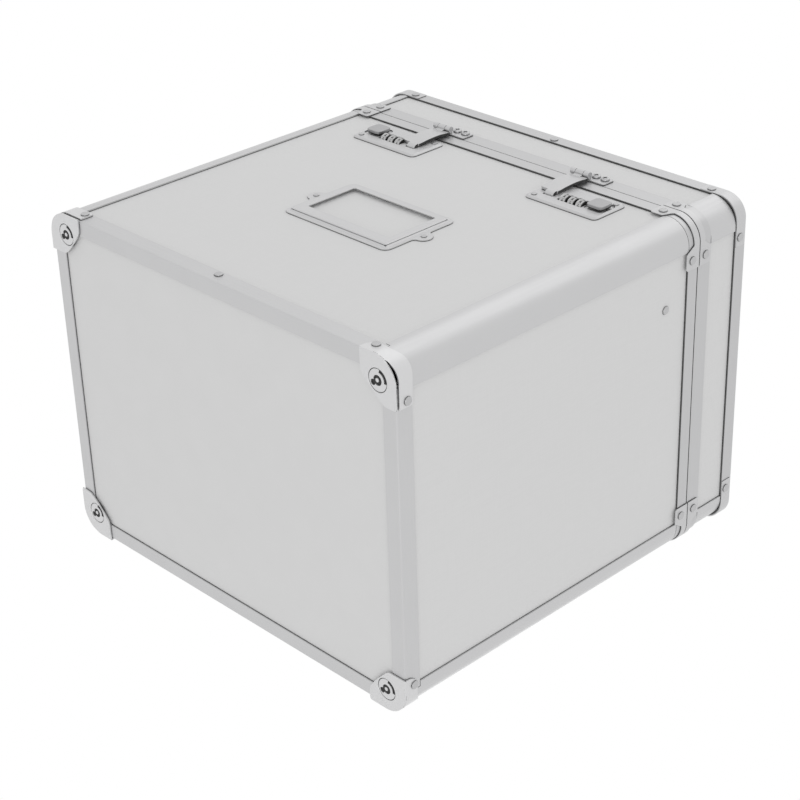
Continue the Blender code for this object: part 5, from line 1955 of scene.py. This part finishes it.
    def _cap(self) -> Work:
        """The button's metal cap.

        Returns:
            The cap.
        """
        top = self.box.front(self.button_proud)
        pad = self._pad(top, top + self.button_sheet)
        pad.bevel_where(lies_at(Axis.Y, top), self.button_edge, 4)
        return pad.softened(self.edge_softness / 2)

    def _skirt(self) -> Work:
        """The button's skirt, down to the face plate, on a square stem, painted black as the shadow under the
        cap.

        Returns:
            The skirt.
        """
        gap, half = self.box.gap, (self.stem_half, self.stem_half)
        top = self.box.front(self.button_proud) + self.button_sheet - gap / 2
        skirt = self._pad(top, self.face - gap / 2, gap / 2)
        skirt.weld(Work.slab(self.button_middle, half, top + gap, self.back))
        return skirt.softened(self.edge_softness / 2)

    def _band(self) -> Work:
        """A wheel's ten-sided metal band about the X axis, each facet framed and sunk.

        Returns:
            The band.
        """
        band = Work.rod((0, 0, 0), self.dial_radius, self.dial_width, Axis.X, sides=self.facets)
        with band.editing():
            band.pick(Kind.FACE, lambda _, n: abs(n.x) < 0.5)
            bpy.ops.mesh.inset(thickness=self.facet_frame, depth=-self.facet_sink, use_individual=True)
        band.softened(self.edge_softness / 2, 2, 20)
        return band.cut(Work.rod((0, 0, 0), self.band_bore, 2 * self.dial_width, Axis.X, sides=32))

    def _core(self) -> Work:
        """A wheel's hub, painted black as the shade between the wheels, bored for the axle.

        Returns:
            The hub.
        """
        width = self.dial_width - self.box.gap
        hub = Work.rod((0, 0, 0), self.band_bore + self.facet_sink, width, Axis.X, sides=32)
        hub.cut(Work.rod((0, 0, 0), self.axle_radius + self.box.gap, 2 * self.dial_width, Axis.X, sides=24))
        return hub.softened(self.edge_softness / 2)

    def _digits(self) -> Work:
        """The digits 0 to 9 round a wheel, each lying on its facet.

        Returns:
            The digits, as one piece.
        """
        flat = self.dial_radius * math.cos(math.pi / self.facets) - self.facet_sink
        made = []
        for digit in range(self.facets):
            release()
            bpy.ops.object.text_add(rotation=(math.pi / 2, 0, 0), location=(0, -flat, 0))
            text = bpy.context.active_object
            text.data.body = str(digit)
            text.data.size, text.data.extrude = self.digit_size, self.digit_sheet
            text.data.align_x, text.data.align_y = "CENTER", "CENTER"
            text.data.resolution_u = 3
            bpy.ops.object.convert(target="MESH")
            figure = Work._started()
            turn = Matrix.Rotation(-2 * math.pi * digit / self.facets, 3, "X")
            made.append(figure.copy(spin=turn))
            figure.scrap()
        return made[0].gathered(made[1:]).tidied()

    def rivets(self) -> Seats:
        """Where both plates are riveted.

        Returns:
            Each rivet's place and outward direction.
        """
        x, z = self.middle
        wide, tall = self.half_width - self.rivet_inset, self.half_height - self.rivet_inset
        return [((s * x + t * wide, self.face, z + t * tall), (0, -1, 0)) for s in SIGNS for t in SIGNS]


@dataclass
class Hasp:
    """A hasp that bridges the seam, and its hinge screwed to the lid's rim."""

    box: Box
    finishes: Finishes
    inset: float = 0.1053
    axis_rise: float = 0.0020
    axis_proud: float = 0.0040
    barrel_radius: float = 0.0024
    bore_radius: float = 0.0014
    pin_radius: float = 0.0011
    barrel_start: float = -0.0130
    barrel_length: float = 0.0170
    knuckle_width: float = 0.0046
    leaf_end: float = 0.0180
    leaf_sheet: float = 0.0008
    leaf_rise: float = 0.0125
    leaf_radius: float = 0.0016
    screw_offset: float = 0.0048
    screw_pitch: float = 0.0083
    screw_rise: float = 0.0082
    screw_radius: float = 0.0032
    screw_height: float = 0.0019
    screw_dome: float = 0.75
    recess_reach: float = 0.62
    recess_depth: float = 0.55
    slot_width: float = 0.0008
    sheet: float = 0.0018
    arm_offset: float = -0.0029
    arm_half_width: float = 0.0079
    tongue_half_width: float = 0.0040
    shoulder_radius: float = 0.0030
    edge_softness: float = 0.00035
    arm_line: tuple[Pair, ...] = (
        *((0.0022, 0.0013), (0.0023, 0.0040), (0.0028, 0.0085), (0.0031, 0.0145)),
        *((0.0028, 0.0235), (0.0022, 0.0305), (0.0020, 0.0340)),
    )
    neck_line: tuple[Pair, ...] = ((0.0040, -0.0020), (0.0029, 0.0005), (0.0023, 0.0030))
    tongue_line: tuple[Pair, ...] = ((0.0022, 0.0310), (0.0019, 0.0347), (0.0010, 0.0365), (-0.0009, 0.0370))

    @property
    def axis(self) -> Pair:
        """Y and Z of the hinge's axis."""
        return self.box.front(self.axis_proud), self.box.seam + self.axis_rise

    def _span(self, sign: int, low: float, high: float) -> Pair:
        """A span of X on the left or the right latch. The hasps are the same on both, and not mirrored."""
        u = sign * (self.box.half_width - self.inset)
        return u + low, u + high

    def _strip(self, line: Sequence[Pair], low: float, high: float) -> Work:
        """Sheet that follows a line of heights and drops, between two places along the box.

        Args:
            line: Heights off the front and drops from the seam.
            low: X where the strip starts.
            high: X where it ends.

        Returns:
            The strip.
        """
        places = [(self.box.front(proud), self.box.seam - drop) for proud, drop in flowing(line, 4)]
        outline = thickened(places, self.sheet)
        return Work.plate([(low, y, z) for y, z in outline], (high - low, 0, 0))

    def build(self) -> None:
        """Builds both hasps with their hinges."""
        for sign in SIGNS:
            self._hinge(sign)
            self._arm(sign)

    def _arm(self, sign: int) -> None:
        """The arm with its neck, middle knuckle and tongue.

        Args:
            sign: -1 for the left hasp, and 1 for the right.
        """
        y, z = self.axis
        side = SIDE_NAMES[sign]
        low, high = self._span(sign, self.barrel_start, self.barrel_start + self.barrel_length)
        low, high = low + self.knuckle_width + self.box.gap, high - self.knuckle_width - self.box.gap
        arm_low, arm_high = self._span(
            sign, self.arm_offset - self.arm_half_width, self.arm_offset + self.arm_half_width
        )
        arm = self._strip(self.arm_line, arm_low, arm_high)
        foot = (self.arm_line[-1][1], self.shoulder_radius, 6)
        head = (self.arm_line[0][1], self.shoulder_radius / 2, 4)
        for drop, radius, segments in (foot, head):
            end, near = self.box.seam - drop, self.sheet / 3
            arm.bevel_where(lambda p, d: abs(d.y) > ALIGNED and abs(p.z - end) < near, radius, segments)
        tongue = self._span(sign, -self.tongue_half_width, self.tongue_half_width)
        arm.weld(
            self._strip(self.neck_line, low, high),
            Work.rod(((low + high) / 2, y, z), self.barrel_radius, high - low, Axis.X, sides=32),
            self._strip(self.tongue_line, *tongue),
        )
        arm.cut(Work.rod(((low + high) / 2, y, z), self.bore_radius, 2 * (high - low), Axis.X, sides=20))
        arm.softened(self.edge_softness, 3)
        arm.dress(f"hasp_arm_{side}", self.finishes.satin, f"hasp_{side}", f"hasp_{side}")
        below = z - self.barrel_radius
        # The arm's side edges below the barrel are painted near black: painted shade and dark reflection.
        arm.paint_where(lambda p, n: abs(n.x) > 0.8 and p.z - Work.shift.z < below, self.finishes.sheared)

    def _hinge(self, sign: int) -> None:
        """The leaf on the lid's rim, with two knuckles, the pin and two screws.

        Args:
            sign: -1 for the left hasp, and 1 for the right.
        """
        y, z = self.axis
        side = SIDE_NAMES[sign]
        start, end = self._span(sign, self.barrel_start, self.barrel_start + self.barrel_length)
        _, leaf_end = self._span(sign, 0, self.leaf_end)
        near, far = self.box.front(self.box.gap), self.box.front(self.box.gap + self.leaf_sheet)
        low = self.box.seam + 2 * self.box.gap
        leaf = Work.block((start, far, low), (leaf_end, near, self.box.seam + self.leaf_rise))
        leaf.bevel_where(runs(Axis.Y), self.leaf_radius, 4)
        half, barrel, width = self.barrel_radius / 2, self.barrel_radius, self.knuckle_width
        for left in (start, end - width):
            right = left + width
            knuckle = Work.rod(((left + right) / 2, y, z), barrel, width, Axis.X, sides=32)
            knuckle.weld(Work.block((left, y, z - half), (right, far + self.leaf_sheet / 2, z + half)))
            leaf.weld(knuckle)
        leaf.softened(self.edge_softness / 2)
        length = end - start - self.box.gap
        pin = Work.rod(((start + end) / 2, y, z), self.pin_radius, length, Axis.X, sides=24)
        pin.softened(self.edge_softness / 2)
        node = f"hasp_hinge_{side}"
        leaf.dress(f"hasp_leaf_{side}", self.finishes.satin, Body.LID, node)
        pin.dress(f"hasp_pin_{side}", self.finishes.steel, Body.LID)
        for i in range(2):
            x = self._span(sign, self.screw_offset + i * self.screw_pitch, 0)[0]
            screw = self._screw(x, far, self.box.seam + self.screw_rise)
            screw.dress(f"hasp_screw_{side}_{i + 1}", self.finishes.polished, Body.LID)

    def _screw(self, x: float, face: float, z: float) -> Work:
        """A domed screw head with a cross recess.

        Args:
            x: X of its middle.
            face: Y of the leaf's face.
            z: Z of its middle.

        Returns:
            The screw's head.
        """
        height, radius = self.screw_height, self.screw_radius
        seat = self.leaf_sheet / 4
        top = face - height
        head = Work.rod((x, face - (height - seat) / 2, z), radius, height + seat, Axis.Y, sides=32)
        head.bevel_where(lies_at(Axis.Y, top), height * self.screw_dome, 6)
        half, wide = radius * self.recess_reach, self.slot_width / 2
        for size in ((half, wide), (wide, half)):
            head.cut(Work.slab((x, z), size, top - height, top + height * self.recess_depth))
        return head.softened(self.edge_softness / 5)


@dataclass
class Rivets:
    """Every rivet head on the case and on the lid, gathered into one piece for each."""

    box: Box
    finishes: Finishes
    clip_offset: float
    cap_offset: float
    case_clip_z: float = 0.2837
    lid_clip_z: float = 0.2983
    crown_z: float = 0.33775
    stay_inset: float = 0.0585
    stay_drop: float = 0.0325

    def _round(self, offset: float, z: float) -> Seats:
        """The eight rivets of one level of corner fittings.

        Args:
            offset: How far the fittings' faces lie off the box.
            z: The rivets' height.

        Returns:
            Each rivet's place and outward direction.
        """
        x, y = self.box.rivet_x, self.box.rivet_y
        x_out, y_out = self.box.half_width + offset, self.box.half_depth + offset
        facing = [((sx * x, sy * y_out, z), (0, sy, 0)) for sx in SIGNS for sy in SIGNS]
        return facing + [((sx * x_out, sy * y, z), (sx, 0, 0)) for sx in SIGNS for sy in SIGNS]

    def _middles(self, z: float) -> Seats:
        """The two rivets at the middle of the front and back."""
        return [((0, sy * self.box.half_depth, z), (0, sy, 0)) for sy in SIGNS]

    def build(self, feet: Seats, small: Seats) -> None:
        """Sets the rivets.

        Args:
            feet: The places of the foot caps' rivets.
            small: The places of the small rivets on the card frame and the latches.
        """
        box = self.box
        case = self._round(self.clip_offset, self.case_clip_z)
        case += [*feet, *self._middles(box.base_rivet_rise)]
        face, y = box.half_width - box.panel_inset, self.stay_inset - box.half_depth
        case += [((sx * face, y, box.seam - self.stay_drop), (sx, 0, 0)) for sx in SIGNS]
        lid = self._round(self.clip_offset, self.lid_clip_z) + self._round(self.cap_offset, self.crown_z)
        lid += self._middles(self.crown_z)
        groups = (
            ("case_rivets", RivetHead(), case, Body.CASE),
            ("lid_rivets", RivetHead(), lid, Body.LID),
            ("small_rivets", RivetHead(0.0021, 0.0008), small, Body.CASE),
        )
        for name, head, places, body in groups:
            made = [head.at(place, outward) for place, outward in places]
            made[0].gathered(made[1:]).dress(name, self.finishes.rivet, body)
            head.clear()


def main() -> None:
    """Builds the dressed box, sub-assembly by sub-assembly."""
    logging.basicConfig(level=logging.INFO, format="%(name)s: %(message)s")
    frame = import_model()
    box, finishes = Box(), Finishes()
    low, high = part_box("case_rim")
    Work.shift = Vector((0, (low.y + high.y) / 2, high.z - box.seam))
    Studio().build()
    CarriedNodes(finishes).dress(frame["nodes"])
    rims = RimFrames(box, finishes)
    case_low, case_high = box.panel_back + box.gap, box.seam - rims.case_rim_height - box.gap
    lid_low = box.seam + 2 * box.gap + rims.lid_rim_height
    lid_high = box.height - rims.top_height - box.gap
    CornerEdging(box, finishes, Body.CASE, box.case_radius, 0.022, case_low, case_high).build()
    CornerEdging(box, finishes, Body.LID, box.lid_radius, 0.0230, lid_low, lid_high).build()
    BaseAngles(box, finishes).build()
    rims.build()
    clips = RimClips(box, finishes)
    clips.build()
    caps = CrownCaps(box, finishes)
    caps.build()
    feet = FootCaps(box, finishes)
    feet.build()
    holder = CardHolder(box, finishes)
    holder.build()
    latch = Latch(box, finishes)
    latch.build()
    Hasp(box, finishes).build()
    rivets = Rivets(box, finishes, box.gap + clips.sheet, caps.sheet)
    rivets.build(feet.rivets(), holder.rivets() + latch.rivets())


if __name__ == "__main__":
    main()
